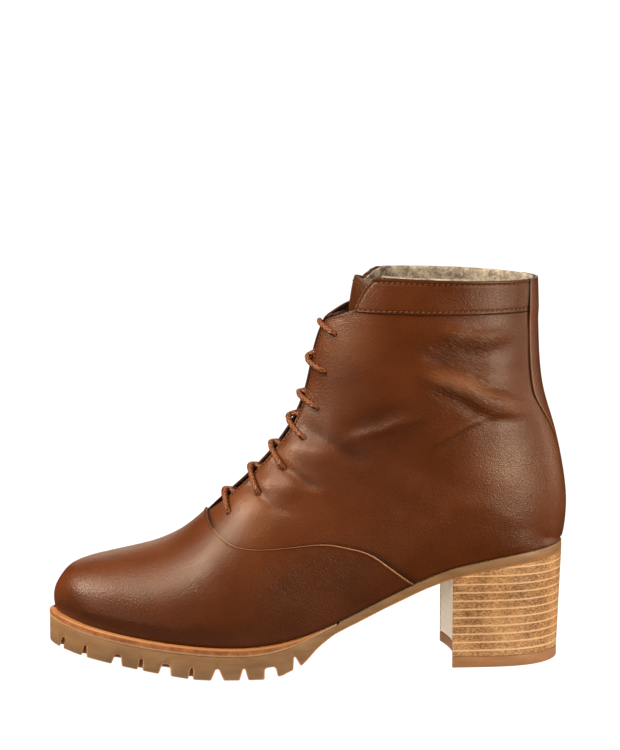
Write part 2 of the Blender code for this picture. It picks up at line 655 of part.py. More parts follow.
def strand(index, side):
    """Path from one eyelet over its facing edge to just past the middle of the throat."""
    other = "inner" if side == "outer" else "outer"
    row, share = EYELETS["row"][index], EYELETS["share"][index]
    rise = (EYELETS["row"][min(index + 1, len(EYELETS["row"]) - 1)] - row) / 2
    edge = float(throat_share(np.array(row + 0.5 * rise), side))
    near_rows = np.append(row + STRAND["rise"] * rise, row + rise)
    near_shares = np.append(share + STRAND["way"] * (edge - share), 0)
    lifts = np.append(STRAND["lift"], MIDDLE_LIFT)[:, None]
    near = skin(near_rows, near_shares, side) + lifts * outward(near_rows, near_shares, side)
    far_row = np.array([row + 1.2 * rise])
    far_share = throat_share(far_row, other) / 2
    far = skin(far_row, far_share, other) + PAST_LIFT * outward(far_row, far_share, other)
    return np.concatenate([near, far])


for index in range(len(EYELETS["row"])):
    name = f"lace_{index + 1}"
    near = finish(name, tube(strand(index, "outer")), (0.1, 0.04, 0.018), 0.5)
    far = finish(name + "_inner", tube(strand(index, "inner")), (0.1, 0.04, 0.018), 0.5)
    combine(near, far, "UNION")


# Origin under the middle of the whole boot
corners = np.concatenate([[v.co for v in thing.data.vertices] for thing in MADE])
middle = (corners.min(0) + corners.max(0)) / 2
for thing in MADE:
    thing.data.transform(Matrix.Translation((-middle[0], -middle[1], 0)))
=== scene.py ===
import math
from contextlib import contextmanager

import bpy
import numpy as np
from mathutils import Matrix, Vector, noise


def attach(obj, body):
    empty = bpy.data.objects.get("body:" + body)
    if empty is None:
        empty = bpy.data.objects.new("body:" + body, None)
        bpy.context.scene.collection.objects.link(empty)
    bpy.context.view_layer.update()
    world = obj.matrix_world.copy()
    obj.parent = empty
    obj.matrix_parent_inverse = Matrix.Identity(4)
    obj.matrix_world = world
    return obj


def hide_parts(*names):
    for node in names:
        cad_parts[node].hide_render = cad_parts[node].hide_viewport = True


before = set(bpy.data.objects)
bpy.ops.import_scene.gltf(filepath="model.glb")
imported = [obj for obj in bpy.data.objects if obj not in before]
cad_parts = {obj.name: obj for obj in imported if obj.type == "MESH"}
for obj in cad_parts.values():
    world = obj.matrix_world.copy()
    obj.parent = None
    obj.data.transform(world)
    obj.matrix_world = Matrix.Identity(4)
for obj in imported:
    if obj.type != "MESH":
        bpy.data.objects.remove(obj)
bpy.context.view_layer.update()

# Lining
# Grey and beige wool felt, glued to the inside of the leather before the upper is pulled over the
# last. It shows inside the collar and on the far facing. Its shape is the last's own surface, drawn in
# by the thickness of the leather: each table row is one cross section, from the toe tip to the collar.
MM = 0.001
SHIFT = np.array([-126.239, 0.704, 0.0])


def table(columns, *rows):
    """A short table as one array for each named column."""
    return dict(zip(columns.split(), np.array(rows, float).T))


FEATHER_LINE = table(
    "x z",
    (2.3, 27.0), (14, 24.0), (29, 21.2), (44, 19.0), (68, 16.4), (84, 15.5), (101, 16.0),
    (114, 18.0), (127, 21.6), (139, 26.0), (159, 35.0), (181, 44.8), (193, 49.3), (205, 52.2),
    (221, 55.2), (237, 57.5), (251, 59.0))
INSOLE_OUTLINE = table(
    "x outer inner",
    (2.3, 0, 0), (8, 12.8, 13.8), (18, 22.6, 25.0), (32, 31.0, 34.0), (50, 37.6, 39.6),
    (70, 41.4, 41.0), (90, 42.6, 38.6), (110, 41.0, 33.8), (130, 37.2, 29.0), (150, 32.8, 25.8),
    (170, 29.8, 25.2), (190, 28.8, 26.8), (210, 28.6, 28.2), (228, 26.8, 26.8), (242, 19.6, 19.6),
    (251, 0, 0))
SECTIONS = table(
    "front_x front_z base_x base_z outer inner widest crown ridge",
    (2.3, 27.0, 2.3, 27.0, 0.0, 0.0, 0.28, 2.2, 0.0),
    (1.5, 32.0, 3.2, 26.8, 5.6, 5.8, 0.28, 2.2, 0.5),
    (2.4, 37.5, 6.0, 26.0, 10.9, 11.6, 0.28, 2.2, 1.0),
    (6.0, 43.4, 11.0, 24.8, 17.0, 18.6, 0.28, 2.2, 1.8),
    (13.0, 48.4, 19.0, 23.0, 24.4, 26.8, 0.27, 2.2, 2.6),
    (29.0, 52.4, 32.0, 20.7, 32.4, 35.3, 0.25, 2.15, 3.4),
    (48.5, 56.6, 50.0, 18.3, 39.2, 41.2, 0.22, 2.05, 3.4),
    (64.5, 63.8, 67.0, 16.5, 42.8, 42.6, 0.2, 2.0, 2.4),
    (77.0, 74.6, 82.0, 15.6, 44.2, 41.4, 0.2, 1.95, 1.0),
    (89.0, 86.2, 106.0, 16.7, 43.2, 37.8, 0.22, 1.9, 0.0),
    (102.5, 99.5, 139.0, 26.0, 38.4, 34.0, 0.26, 1.9, 0.0),
    (111.0, 110.0, 172.0, 40.8, 35.0, 32.8, 0.32, 1.9, 0.0),
    (117.0, 119.3, 205.0, 52.2, 33.6, 33.0, 0.365, 1.95, 0.0),
    (120.3, 126.3, 234.0, 57.1, 33.2, 33.0, 0.358, 2.0, 0.0),
    (122.0, 130.5, 246.0, 58.5, 33.0, 32.8, 0.359, 2.0, 0.0),
    (123.2, 133.8, 251.0, 59.0, 32.8, 32.6, 0.372, 2.0, 0.0),
    (124.8, 139.5, 253.2, 71.0, 32.4, 32.2, 0.403, 2.0, 0.0),
    (126.4, 147.0, 252.6, 88.0, 31.8, 31.6, 0.433, 2.0, 0.0),
    (128.4, 155.5, 247.5, 113.0, 30.8, 30.6, 0.45, 2.0, 0.0),
    (131.0, 163.3, 241.3, 133.3, 30.0, 29.8, 0.465, 2.0, 0.0),
    (134.0, 169.8, 238.7, 155.0, 29.5, 29.4, 0.475, 2.0, 0.0),
    (136.8, 175.5, 238.0, 175.5, 29.2, 29.2, 0.48, 2.0, 0.0),
    (142.0, 192.2, 237.5, 188.8, 29.0, 29.0, 0.48, 2.0, 0.0))
THROAT_ROW, HEEL_ROW, CUFF_ROW, TOP_ROW = 8, 15, 21, 22
HEEL_TURN = 1.5
THROAT = table(
    "row half_gap",
    (8, 0), (9, 7.2), (10, 6.8), (12, 6.9), (14, 6.0), (16, 5.5), (18, 4.6), (20, 4.5), (22, 6.0))
CUFF_FRONT = {
    "outer": table("row share", (20.8, 0.165), (21.03, 0.168), (21.2, 0.169), (21.43, 0.175),
                   (21.62, 0.184), (21.8, 0.2), (21.92, 0.214), (22.04, 0.235)),
    "inner": table("row share", (20.8, 0.17), (21.3, 0.178), (21.6, 0.192), (21.8, 0.212),
                   (21.92, 0.236), (22.04, 0.275))}


def spline(at, knots, values):
    """Smooth curve through the rows of a table, straight beyond its ends."""
    gaps = np.diff(knots)
    slopes = np.diff(values) / gaps
    count = len(knots)
    system = np.eye(count)
    load = np.zeros(count)
    for k in range(1, count - 1):
        system[k, k - 1:k + 2] = gaps[k - 1], 2 * (gaps[k - 1] + gaps[k]), gaps[k]
        load[k] = 6 * (slopes[k] - slopes[k - 1])
    bend = np.linalg.solve(system, load)
    at = np.asarray(at, float)
    inside = np.clip(at, knots[0], knots[-1])
    k = np.clip(np.searchsorted(knots, inside, side="right") - 1, 0, count - 2)
    wide, left, right = gaps[k], inside - knots[k], knots[k + 1] - inside
    curve = (bend[k] * right ** 3 + bend[k + 1] * left ** 3) / (6 * wide)
    curve = curve + (values[k] / wide - bend[k] * wide / 6) * right
    curve = curve + (values[k + 1] / wide - bend[k + 1] * wide / 6) * left
    first = slopes[0] - gaps[0] * (2 * bend[0] + bend[1]) / 6
    last = slopes[-1] + gaps[-1] * (bend[-2] + 2 * bend[-1]) / 6
    return curve + np.where(at < knots[0], first, last) * (at - inside)


def ease(u):
    """Rise from 0 to 1 with level ends."""
    u = np.clip(u, 0, 1)
    return u * u * (3 - 2 * u)


def band(distance, wide):
    """1 on a line, fading to nothing within a width on both sides."""
    return np.exp(-(distance / wide) ** 2)


def feather(x):
    """Height of the joint between upper and sole."""
    return spline(x, FEATHER_LINE["x"], FEATHER_LINE["z"])


def half_width(x, side):
    """Half width of the insole, round at both ends."""
    return np.sqrt(np.maximum(0, spline(x, INSOLE_OUTLINE["x"], INSOLE_OUTLINE[side] ** 2)))


def section(row):
    """Named sizes of the cross section at a row, between table rows too."""
    rows = np.arange(TOP_ROW + 1.0)
    turn = np.abs(row - HEEL_ROW) / HEEL_TURN
    slow = HEEL_ROW + np.sign(row - HEEL_ROW) * HEEL_TURN * turn ** 2 * (2 - turn)
    base_row = np.where(turn < 1, slow, row)
    cut = {name: spline(row, rows, column) for name, column in SECTIONS.items()}
    for name in ("base_x", "base_z"):
        cut[name] = spline(base_row, rows, SECTIONS[name])
    cut["on_sole"] = row <= HEEL_ROW
    cut["base_z"] = np.where(cut["on_sole"], feather(cut["base_x"]), cut["base_z"])
    return cut


def profile(cut, angle, wide, base_angle, sign):
    """Place along the section line and across it, from the front (0) round to the base."""
    fore = angle <= math.pi / 2
    lengthwise = np.abs(np.cos(angle))
    sideways = np.abs(np.sin(angle))
    crown = lengthwise ** (2 / cut["crown"])
    top = cut["widest"] + (1 - cut["widest"]) * crown
    low = cut["widest"] * (1 - lengthwise / np.abs(np.cos(base_angle)))
    along = np.where(fore, top, low)
    across = np.where(fore, sideways ** (2 / cut["crown"]), sideways)
    return along, sign * wide * across + np.where(fore, cut["ridge"] * crown, 0)


def skin(row, share, side):
    """Points of the last at a section row and a share of its half girth."""
    row, share = np.broadcast_arrays(np.asarray(row, float), np.asarray(share, float))
    shape = row.shape
    row, share = row.ravel(), share.ravel()
    sign = -1 if side == "outer" else 1
    cut = section(row)
    edge = np.where(cut["on_sole"], half_width(cut["base_x"], side), 0)
    wide = np.maximum(cut[side], 1.005 * edge)
    base_angle = math.pi - np.arcsin(edge / np.maximum(wide, 1e-9))
    run_x, run_z = cut["front_x"] - cut["base_x"], cut["front_z"] - cut["base_z"]
    angles = np.linspace(0, 1, 49)[None, :] * base_angle[:, None]
    tall = {name: column[:, None] for name, column in cut.items()}
    along, across = profile(tall, angles, wide[:, None], base_angle[:, None], sign)
    step = np.hypot(np.diff(along) * np.hypot(run_x, run_z)[:, None], np.diff(across))
    length = np.concatenate([np.zeros((len(row), 1)), np.cumsum(step, 1)], 1)
    goal = share * length[:, -1]
    k = np.clip((length < goal[:, None]).sum(1), 1, angles.shape[1] - 1)[:, None]
    low, high = np.take_along_axis(length, k - 1, 1)[:, 0], np.take_along_axis(length, k, 1)[:, 0]
    part = np.clip((goal - low) / np.maximum(high - low, 1e-12), 0, 1)
    angle = (k[:, 0] - 1 + part) / (angles.shape[1] - 1) * base_angle
    along, across = profile(cut, angle, wide, base_angle, sign)
    points = [cut["base_x"] + along * run_x, across, cut["base_z"] + along * run_z]
    return np.stack(points, -1).reshape(shape + (3,))


ROW_STEP, SHARE_STEP, FIRST_ROW, LAST_ROW = 0.04, 0.006, 0.02, 22.2


def outward(row, share, side):
    """Unit normals of the last."""
    row, share = np.broadcast_arrays(np.asarray(row, float), np.asarray(share, float))
    ahead, behind = np.minimum(row + ROW_STEP, LAST_ROW), np.maximum(row - ROW_STEP, FIRST_ROW)
    lengthwise = skin(ahead, share, side) - skin(behind, share, side)
    below = np.clip(share + SHARE_STEP, 2 * SHARE_STEP, 1)
    above = np.clip(share - SHARE_STEP, 0, 1 - 2 * SHARE_STEP)
    around = skin(row, below, side) - skin(row, above, side)
    normal = np.cross(around, lengthwise) * (1 if side == "outer" else -1)
    level = np.stack([-lengthwise[..., 2], 0 * share, lengthwise[..., 0]], -1)
    normal = np.where((share <= 0)[..., None], level, normal)
    normal = np.where(((share >= 1) & (row >= HEEL_ROW))[..., None], -level, normal)
    return normal / np.maximum(np.linalg.norm(normal, axis=-1, keepdims=True), 1e-12)


SIDES = ("outer", "inner")
GIRTH_ROWS = np.linspace(0.05, TOP_ROW, 221)
HALF_GIRTH = {}
for side in SIDES:
    path = skin(GIRTH_ROWS[:, None], np.linspace(0, 1, 60)[None, :], side)
    HALF_GIRTH[side] = np.linalg.norm(np.diff(path, axis=1), axis=2).sum(1)


def half_girth(row, side):
    """Length in millimetres round half of a section."""
    return np.interp(row, GIRTH_ROWS, HALF_GIRTH[side])


def girth_share(millimetres, row, side):
    """A length round a section as a share of its half girth."""
    return millimetres / half_girth(row, side)


GAP_ARC = 1.03


def throat_share(row, side):
    """Share of the half girth where the facing edge runs."""
    gap = np.sqrt(np.maximum(0, spline(row, THROAT["row"], THROAT["half_gap"] ** 2)))
    return np.where(row > THROAT_ROW, girth_share(GAP_ARC * gap, row, side), 0)


def cuff_front(row, side):
    """Share of the half girth where the front edge of the cuff runs."""
    return np.interp(row, CUFF_FRONT[side]["row"], CUFF_FRONT[side]["share"])


def shell(rows, shares, side):
    """Points of the last with their normals."""
    return skin(rows, shares, side), outward(rows, shares, side)


EVEN_REACH, EVEN_ROUNDS = 1.2, 160


def lay(rows, shares, side):
    """Surface points and normals of a panel, evened out where the rings turn up the heel."""
    points, normals = shell(rows, shares, side)
    pull = band(rows - HEEL_ROW, EVEN_REACH) * ease((1 - shares) / 0.07) * 0.5
    if pull.max() > 0.01 and len(rows) > 40:
        for grid in (points, normals):
            for _ in range(EVEN_ROUNDS):
                mean = (grid[:-2] + grid[2:]) / 2
                grid[1:-1] += pull[1:-1, :, None] * (mean - grid[1:-1])
    return points, normals / np.linalg.norm(normals, axis=-1, keepdims=True)


def pick(thing):
    """Make one object the only selected one and the active one."""
    bpy.ops.object.select_all(action="DESELECT")
    thing.select_set(True)
    bpy.context.view_layer.objects.active = thing


@contextmanager
def editing(thing):
    """Edit mode on a mesh with all of it selected."""
    pick(thing)
    bpy.ops.object.mode_set(mode="EDIT")
    bpy.ops.mesh.select_all(action="SELECT")
    yield
    bpy.ops.object.mode_set(mode="OBJECT")


def weld(thing, gap):
    """Merge corners that lie closer than a gap in millimetres."""
    with editing(thing):
        bpy.ops.mesh.remove_doubles(threshold=gap * MM)


GRID_MERGE = 0.02


def panel(name, grid, facing, **paints):
    """A sheet laid on the last: a grid primitive with its corners set on the given points."""
    tall, wide = grid.shape[:2]
    bpy.ops.object.select_all(action="DESELECT")
    bpy.ops.mesh.primitive_grid_add(x_subdivisions=wide - 1, y_subdivisions=tall - 1, size=1)
    sheet = bpy.context.object
    sheet.name = sheet.data.name = name
    flat = np.empty(len(sheet.data.vertices) * 3)
    sheet.data.vertices.foreach_get("co", flat)
    flat = flat.reshape(-1, 3)
    column = np.rint((flat[:, 0] + 0.5) * (wide - 1)).astype(int)
    row = np.rint((flat[:, 1] + 0.5) * (tall - 1)).astype(int)
    sheet.data.vertices.foreach_set("co", ((grid[row, column] + SHIFT) * MM).ravel())
    sheet.data.update()
    for paint_name, values in paints.items():
        layer = sheet.data.attributes.new(paint_name, "FLOAT", "POINT")
        layer.data.foreach_set("value", np.clip(values, 0, 1)[row, column].astype(np.float32))
    normals = np.empty(len(sheet.data.vertices) * 3)
    sheet.data.vertices.foreach_get("normal", normals)
    agree = (normals.reshape(-1, 3) * facing[row, column]).sum(1).mean()
    weld(sheet, GRID_MERGE)
    if agree < 0:
        with editing(sheet):
            bpy.ops.mesh.flip_normals()
    bpy.ops.object.shade_smooth()
    return sheet


def apply_all(thing):
    """Apply every modifier of an object in order."""
    pick(thing)
    for modifier in list(thing.modifiers):
        bpy.ops.object.modifier_apply(modifier=modifier.name)


def round_edges(thing, width, angle):
    """A bevel on the edges sharper than an angle in degrees, still to be applied."""
    bevel = thing.modifiers.new("edges", "BEVEL")
    bevel.width = width * MM
    bevel.segments = 2
    bevel.limit_method = "ANGLE"
    bevel.angle_limit = math.radians(angle)
    return bevel


def thicken(sheet, thick, edge_round=0.0, merge=0.0):
    """Give a sheet its thickness inwards, and round its cut edges."""
    solid = sheet.modifiers.new("thickness", "SOLIDIFY")
    solid.thickness = thick * MM
    solid.offset = -1
    solid.use_even_offset = False
    if edge_round:
        round_edges(sheet, edge_round, 55)
    apply_all(sheet)
    if merge:
        weld(sheet, merge)


def join_pieces(name, pieces):
    """Make one piece of several meshes."""
    pick(pieces[0])
    for piece in pieces:
        piece.select_set(True)
    if len(pieces) > 1:
        bpy.ops.object.join()
    pieces[0].name = pieces[0].data.name = name
    return pieces[0]


def wire(tree, made, values):
    """Set a node's options and inputs by name or number; an output given as a value is linked in."""
    for key, value in values.items():
        if hasattr(made, str(key)):
            setattr(made, key, value)
            continue
        socket = made.inputs[key.replace("_", " ") if isinstance(key, str) else key]
        if isinstance(value, bpy.types.NodeSocket):
            tree.links.new(value, socket)
        else:
            socket.default_value = value
    return made


def node_maker(tree):
    """A function that adds shader nodes to a tree, with inputs by number or by name."""
    def node(kind, *inputs, **values):
        made = tree.nodes.new("ShaderNode" + kind)
        return wire(tree, made, {**values, **dict(enumerate(inputs))})

    return node


def new_material(name):
    """A fresh material, a maker of its nodes and a setter for its Principled shader."""
    material = bpy.data.materials.new(name)
    material.use_nodes = True
    tree = material.node_tree

    def shade(**values):
        wire(tree, tree.nodes["Principled BSDF"], values)

    return material, node_maker(tree), shade


def two_tone(ramp, low, dark, high, pale):
    """Set a colour ramp from a dark colour at one place to a pale one at another."""
    ends = ramp.color_ramp.elements
    ends[0].position, ends[0].color = low, dark
    ends[1].position, ends[1].color = high, pale
    return ramp.outputs["Color"]


def dress(thing, material, slot, *nodes):
    """Give a piece its material and body, and hide the CAD nodes it stands for; the slot is not used."""
    if not thing.data.materials:
        thing.data.materials.append(material)
    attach(thing, "root")
    if nodes:
        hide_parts(*nodes)


def srgb(red, green, blue):
    """A screen colour as the linear colour that shaders use."""
    return tuple(((c / 255 + 0.055) / 1.055) ** 2.4 for c in (red, green, blue)) + (1,)


LINING_DEPTH, LINING_THICK, LINING_SLACK = 1.15, 1.0, 3.0
LINING_FROM, LINING_TO, LINING_COLUMNS = 0.6, 22.03, 90
LINING_INSET, LINING_CORNER, CUFF_OVERLAP = 0.9, 0.16, 0.012
FACING_WIDE = 16.0
FELT_PALE, FELT_DARK, FACING_SHADE = srgb(220, 208, 194), srgb(104, 90, 84), srgb(52, 30, 20)

lining_rows = np.concatenate([np.linspace(LINING_FROM, THROAT_ROW, 50),
                              np.linspace(THROAT_ROW + 0.08, LINING_TO, 100)])
lining_halves = []
for side in SIDES:
    inset = np.where(lining_rows > THROAT_ROW, girth_share(LINING_INSET, lining_rows, side), 0)
    corner = np.maximum(0, LINING_CORNER * ease(lining_rows - 19.9) - 0.02)
    front = np.where(lining_rows >= CUFF_ROW - 0.1, cuff_front(lining_rows, side) + CUFF_OVERLAP,
                     throat_share(lining_rows, side) + inset + corner)[:, None]
    shares = front + (1 - front) * np.linspace(0, 1, LINING_COLUMNS)[None, :]
    rows = np.repeat(lining_rows[:, None], LINING_COLUMNS, 1)
    points, normals = lay(rows, shares, side)
    inside = (shares - front) * half_girth(rows, side)
    slack = LINING_SLACK * ease((20.6 - rows) / 0.8) * ease((inside - 2) / 4)
    # a dark strip painted on the lining behind the facings as painted shade
    facing_strip = ease((FACING_WIDE - inside) / 1.5) * ease((rows - THROAT_ROW) / 0.3)
    facing_strip = facing_strip * ease((21.1 - rows) / 0.1)
    half = panel("lining_" + side, points - (LINING_DEPTH + slack)[..., None] * normals, normals,
                 facing_strip=facing_strip)
    thicken(half, LINING_THICK)
    lining_halves.append(half)
lining = join_pieces("lining", lining_halves)

felt, node, shade = new_material("wool_felt")
place = node("TexCoord").outputs["Object"]
mottle = node("TexNoise", Vector=place, Scale=190.0, Detail=5.0, Roughness=0.7)
fleck = node("TexNoise", Vector=place, Scale=620.0, Detail=3.0, Roughness=0.8)
fibre = node("TexNoise", Vector=place, Scale=1500.0, Detail=4.0, Roughness=0.8, Distortion=1.5)
blend = node("Mix", data_type="FLOAT", Factor=0.4, A=mottle.outputs["Fac"], B=fleck.outputs["Fac"])
wool = two_tone(node("ValToRGB", Fac=blend.outputs[0]), 0.4, FELT_DARK, 0.58, FELT_PALE)
facing_shade_mask = node("Attribute", attribute_name="facing_strip")
shaded_felt = node("Mix", data_type="RGBA", Factor=facing_shade_mask.outputs["Fac"], A=wool, B=FACING_SHADE)
bump = node("Bump", Strength=0.8, Distance=0.0006, Height=fibre.outputs["Fac"])
shade(Base_Color=shaded_felt.outputs["Result"], Normal=bump.outputs["Normal"], Roughness=0.95, Sheen_Weight=0.35)
dress(lining, felt, "insole_leather")

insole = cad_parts["insole"]
insole.data.materials.clear()
insole.data.materials.append(felt)

# Quarters
# Two panels of waxed brown calf leather, one for each side of the ankle. Their front edges are the
# facings with the punched lace holes, their lower edge runs under the vamp, and their top edge is sewn
# to the cuff. The leather is creased where the ankle bends.
LEATHER_THICK = 1.1
VAMP_SEAM = table(
    "share row",
    (0, 8.0), (0.15, 8.02), (0.28, 8.15), (0.39, 8.45), (0.46, 8.8), (0.51, 9.25), (0.56, 9.8),
    (0.61, 10.3), (0.675, 10.65), (0.74, 10.88), (0.83, 11.0), (0.925, 11.06), (1, 11.1))
EYELETS = table(
    "row share",
    (8.7, 0.219), (9.6, 0.219), (10.55, 0.188), (11.85, 0.15), (14.25, 0.1), (17.1, 0.094),
    (19.2, 0.112))
EYELET_RADIUS, PUNCH_LONG = 1.45, 8
CORNER_DROP, CORNER_SHARE = 1.15, 0.16
SEAM_TUCK = 0.28
FACING_GROOVE, GROOVE_DEEP = 1.7, 0.18
# how much fold ridges are painted paler, partly pull-up of waxed leather and partly painted highlight, and
# troughs darker as painted shade
RIDGE_PULL_AND_HIGHLIGHT, TROUGH_SHADE = 0.09, 0.28
ROW_SPACING, SOLE_GIRTH, FAR = 12, 130, 99

# Creases: soft ridges (plus) and troughs (minus) along lines in the side view, with their height and
# half width in millimetres, and how finely wrinkled the leather is beside them
CREASES = (
    (-0.7, 1.3, 0.75, ((170, 158.5), (183.2, 153.3), (194.8, 147.3), (205.8, 142.1), (220.4, 135.3),
                       (236, 129))),
    (-0.5, 4.5, 0.6, ((176, 158), (186, 153.5), (198, 148), (212, 143), (226, 138))),
    (2.6, 5.8, 0.8, ((172, 150), (192.3, 141), (202.2, 136.2), (213.8, 130.5), (224, 127.6), (242, 125))),
    (-1.4, 3.0, 0.1, ((174, 142.5), (187.5, 137.2), (196, 132.6), (205, 127), (213, 123), (226, 121.8),
                      (240, 122))),
    (0.8, 1.7, 0.15, ((182, 108), (197.2, 118.8), (205.8, 122.7), (217.3, 125.1), (228, 127))),
    (-0.7, 2.2, 0.1, ((184, 107), (201, 118), (212, 121.5), (224, 124))),
    (1.5, 4.6, 0.8, ((182, 168), (200, 164), (207, 162), (214.6, 163), (230, 165))),
    (-0.7, 5.0, 0.2, ((176, 151), (195.3, 153.5), (204.7, 154.5), (230, 154))),
    (0.6, 2.2, 0.35, ((140, 110.5), (160.5, 118.7), (170.4, 122.3), (188, 126))),
    (-0.8, 4.5, 0, ((136, 115), (157, 123.5), (169, 127.5), (180, 130))),
    (1.3, 5.5, 0.1, ((108, 104), (119.8, 106.5), (128.5, 106), (146, 101))),
    (-1.5, 2.2, 0.2, ((104, 106), (113.3, 98.3), (118.9, 95.1), (124.5, 92.7), (136, 88))),
    (1.3, 4.6, 0.1, ((98, 92.5), (110.9, 90.0), (126, 88))),
    (-1.2, 2.0, 0.1, ((92, 95), (101.3, 85.9), (106.4, 81.3), (120, 76))),
    (0.7, 4.5, 0, ((85, 85), (91.7, 82.4), (95.9, 79.4), (105, 74))),
    (-1.7, 5.0, 0, ((116, 122), (122, 118), (127.3, 115.4), (134.1, 111.3), (140.1, 108.1), (150, 104.5),
                    (164, 102))))

WRINKLE_REACH = 4.5

# Soft patches of painted highlight (plus) and painted shade (minus) on the quarters: amount, place, half
# length, half height
PAINTED_LIGHT_PATCHES = (
    (0.09, 143, 160, 12, 11), (0.11, 114, 101, 13, 9), (0.12, 98, 80, 12, 11), (-0.34, 150, 108, 24, 21),
    (0.15, 200, 141, 16, 6), (0.06, 247, 95, 8, 30), (0.12, 219, 98, 15, 14), (-0.2, 168, 122, 13, 10))


def painted_light(points):
    """How much painted highlight (plus) or painted shade (minus) lies at points, as soft oval patches."""
    return sum(amount * band(points[..., 0] - x, long) * band(points[..., 2] - z, tall)
               for amount, x, z, long, tall in PAINTED_LIGHT_PATCHES)


def seam_row(share):
    """Section row of the vamp seam."""
    return spline(share, VAMP_SEAM["share"], VAMP_SEAM["row"])


def line_distance(points, line):
    """Distance in the side view from points to a line, and how far along it the nearest place is."""
    flat = points[..., [0, 2]]
    corners = np.array(line, float)
    best = np.full(flat.shape[:-1], 1e9)
    along = np.zeros(flat.shape[:-1])
    lengths = np.linalg.norm(np.diff(corners, axis=0), axis=1)
    start = 0.0
    for (a, b), length in zip(zip(corners, corners[1:]), lengths):
        u = np.clip(((flat - a) * (b - a)).sum(-1) / length ** 2, 0, 1)
        gap = np.linalg.norm(flat - a - u[..., None] * (b - a), axis=-1)
        along = np.where(gap < best, (start + u * length) / lengths.sum(), along)
        best = np.minimum(gap, best)
        start += length
    return best, along


def ripple(points, size):
    """Smooth noise between -1 and 1 over the points, with waves of a size in millimetres."""
    flat = points.reshape(-1, 3) / size
    return np.array([noise.noise(Vector(p)) for p in flat]).reshape(points.shape[:-1])


def slackness(points, *waves):
    """Height of soft waves in the leather, each given by its height and size in millimetres."""
    return sum(height * ripple(points, size) for height, size in waves)


def creased(points):
    """Height of the folds and of the slight slackness of the leather, and where it is wrinkled."""
    height = slackness(points, (0.45, 24.0), (0.16, 9.0))
    wrinkled = 0 * height
    wobble = 1.2 * ripple(points + 40.0, 14.0)
    patchy = 0.75 + 0.6 * ripple(points + 80.0, 11.0)
    for rise, half, wrinkle, line in CREASES:
        gap, along = line_distance(points + wobble[..., None] * np.array([0, 0, 1.0]), line)
        fade = ease(along / 0.3) * ease((1 - along) / 0.45)
        height = height + rise * fade * band(gap, half)
        wrinkled = np.maximum(wrinkled, wrinkle * patchy * fade * band(gap, half + WRINKLE_REACH))
    return height, wrinkled


STRIP_NARROW, STRIP_WIDE = 0.014, 0.12
STRIP_FROM, STRIP_TO = 17.3, 19.0


def strip_share(row):
    """Half width of the back strip as a share of the half girth."""
    return STRIP_NARROW + (STRIP_WIDE - STRIP_NARROW) * ease((row - STRIP_FROM) / (STRIP_TO - STRIP_FROM))


RING_ROUNDS = 14


def quarter_rings(side, bases, columns):
    """Section row and girth share of the points of a quarter, ring by ring."""
    drop = CORNER_DROP * (1 - np.minimum(columns / CORNER_SHARE, 1)) ** 2
    part = ((bases - bases[0]) / (CUFF_ROW - bases[0]))[:, None]
    rows = np.repeat(bases[:, None], len(columns), 1)
    for _ in range(RING_ROUNDS):
        front = throat_share(rows, side)
        shares = front + (1 - front) * columns[None, :]
        lower = seam_row(shares) - SEAM_TUCK * ease((shares - 0.03) / 0.2)
        rows = lower + part * (CUFF_ROW - drop[None, :] - lower)
    return rows, shares


def cut_away(thing, tool):
    """Cut a tool's shape out of a piece, and put the tool away."""
    cut = thing.modifiers.new("cut", "BOOLEAN")
    cut.operation = "DIFFERENCE"
    cut.solver = "EXACT"
    cut.object = tool
    apply_all(thing)
    bpy.data.objects.remove(tool, do_unlink=True)


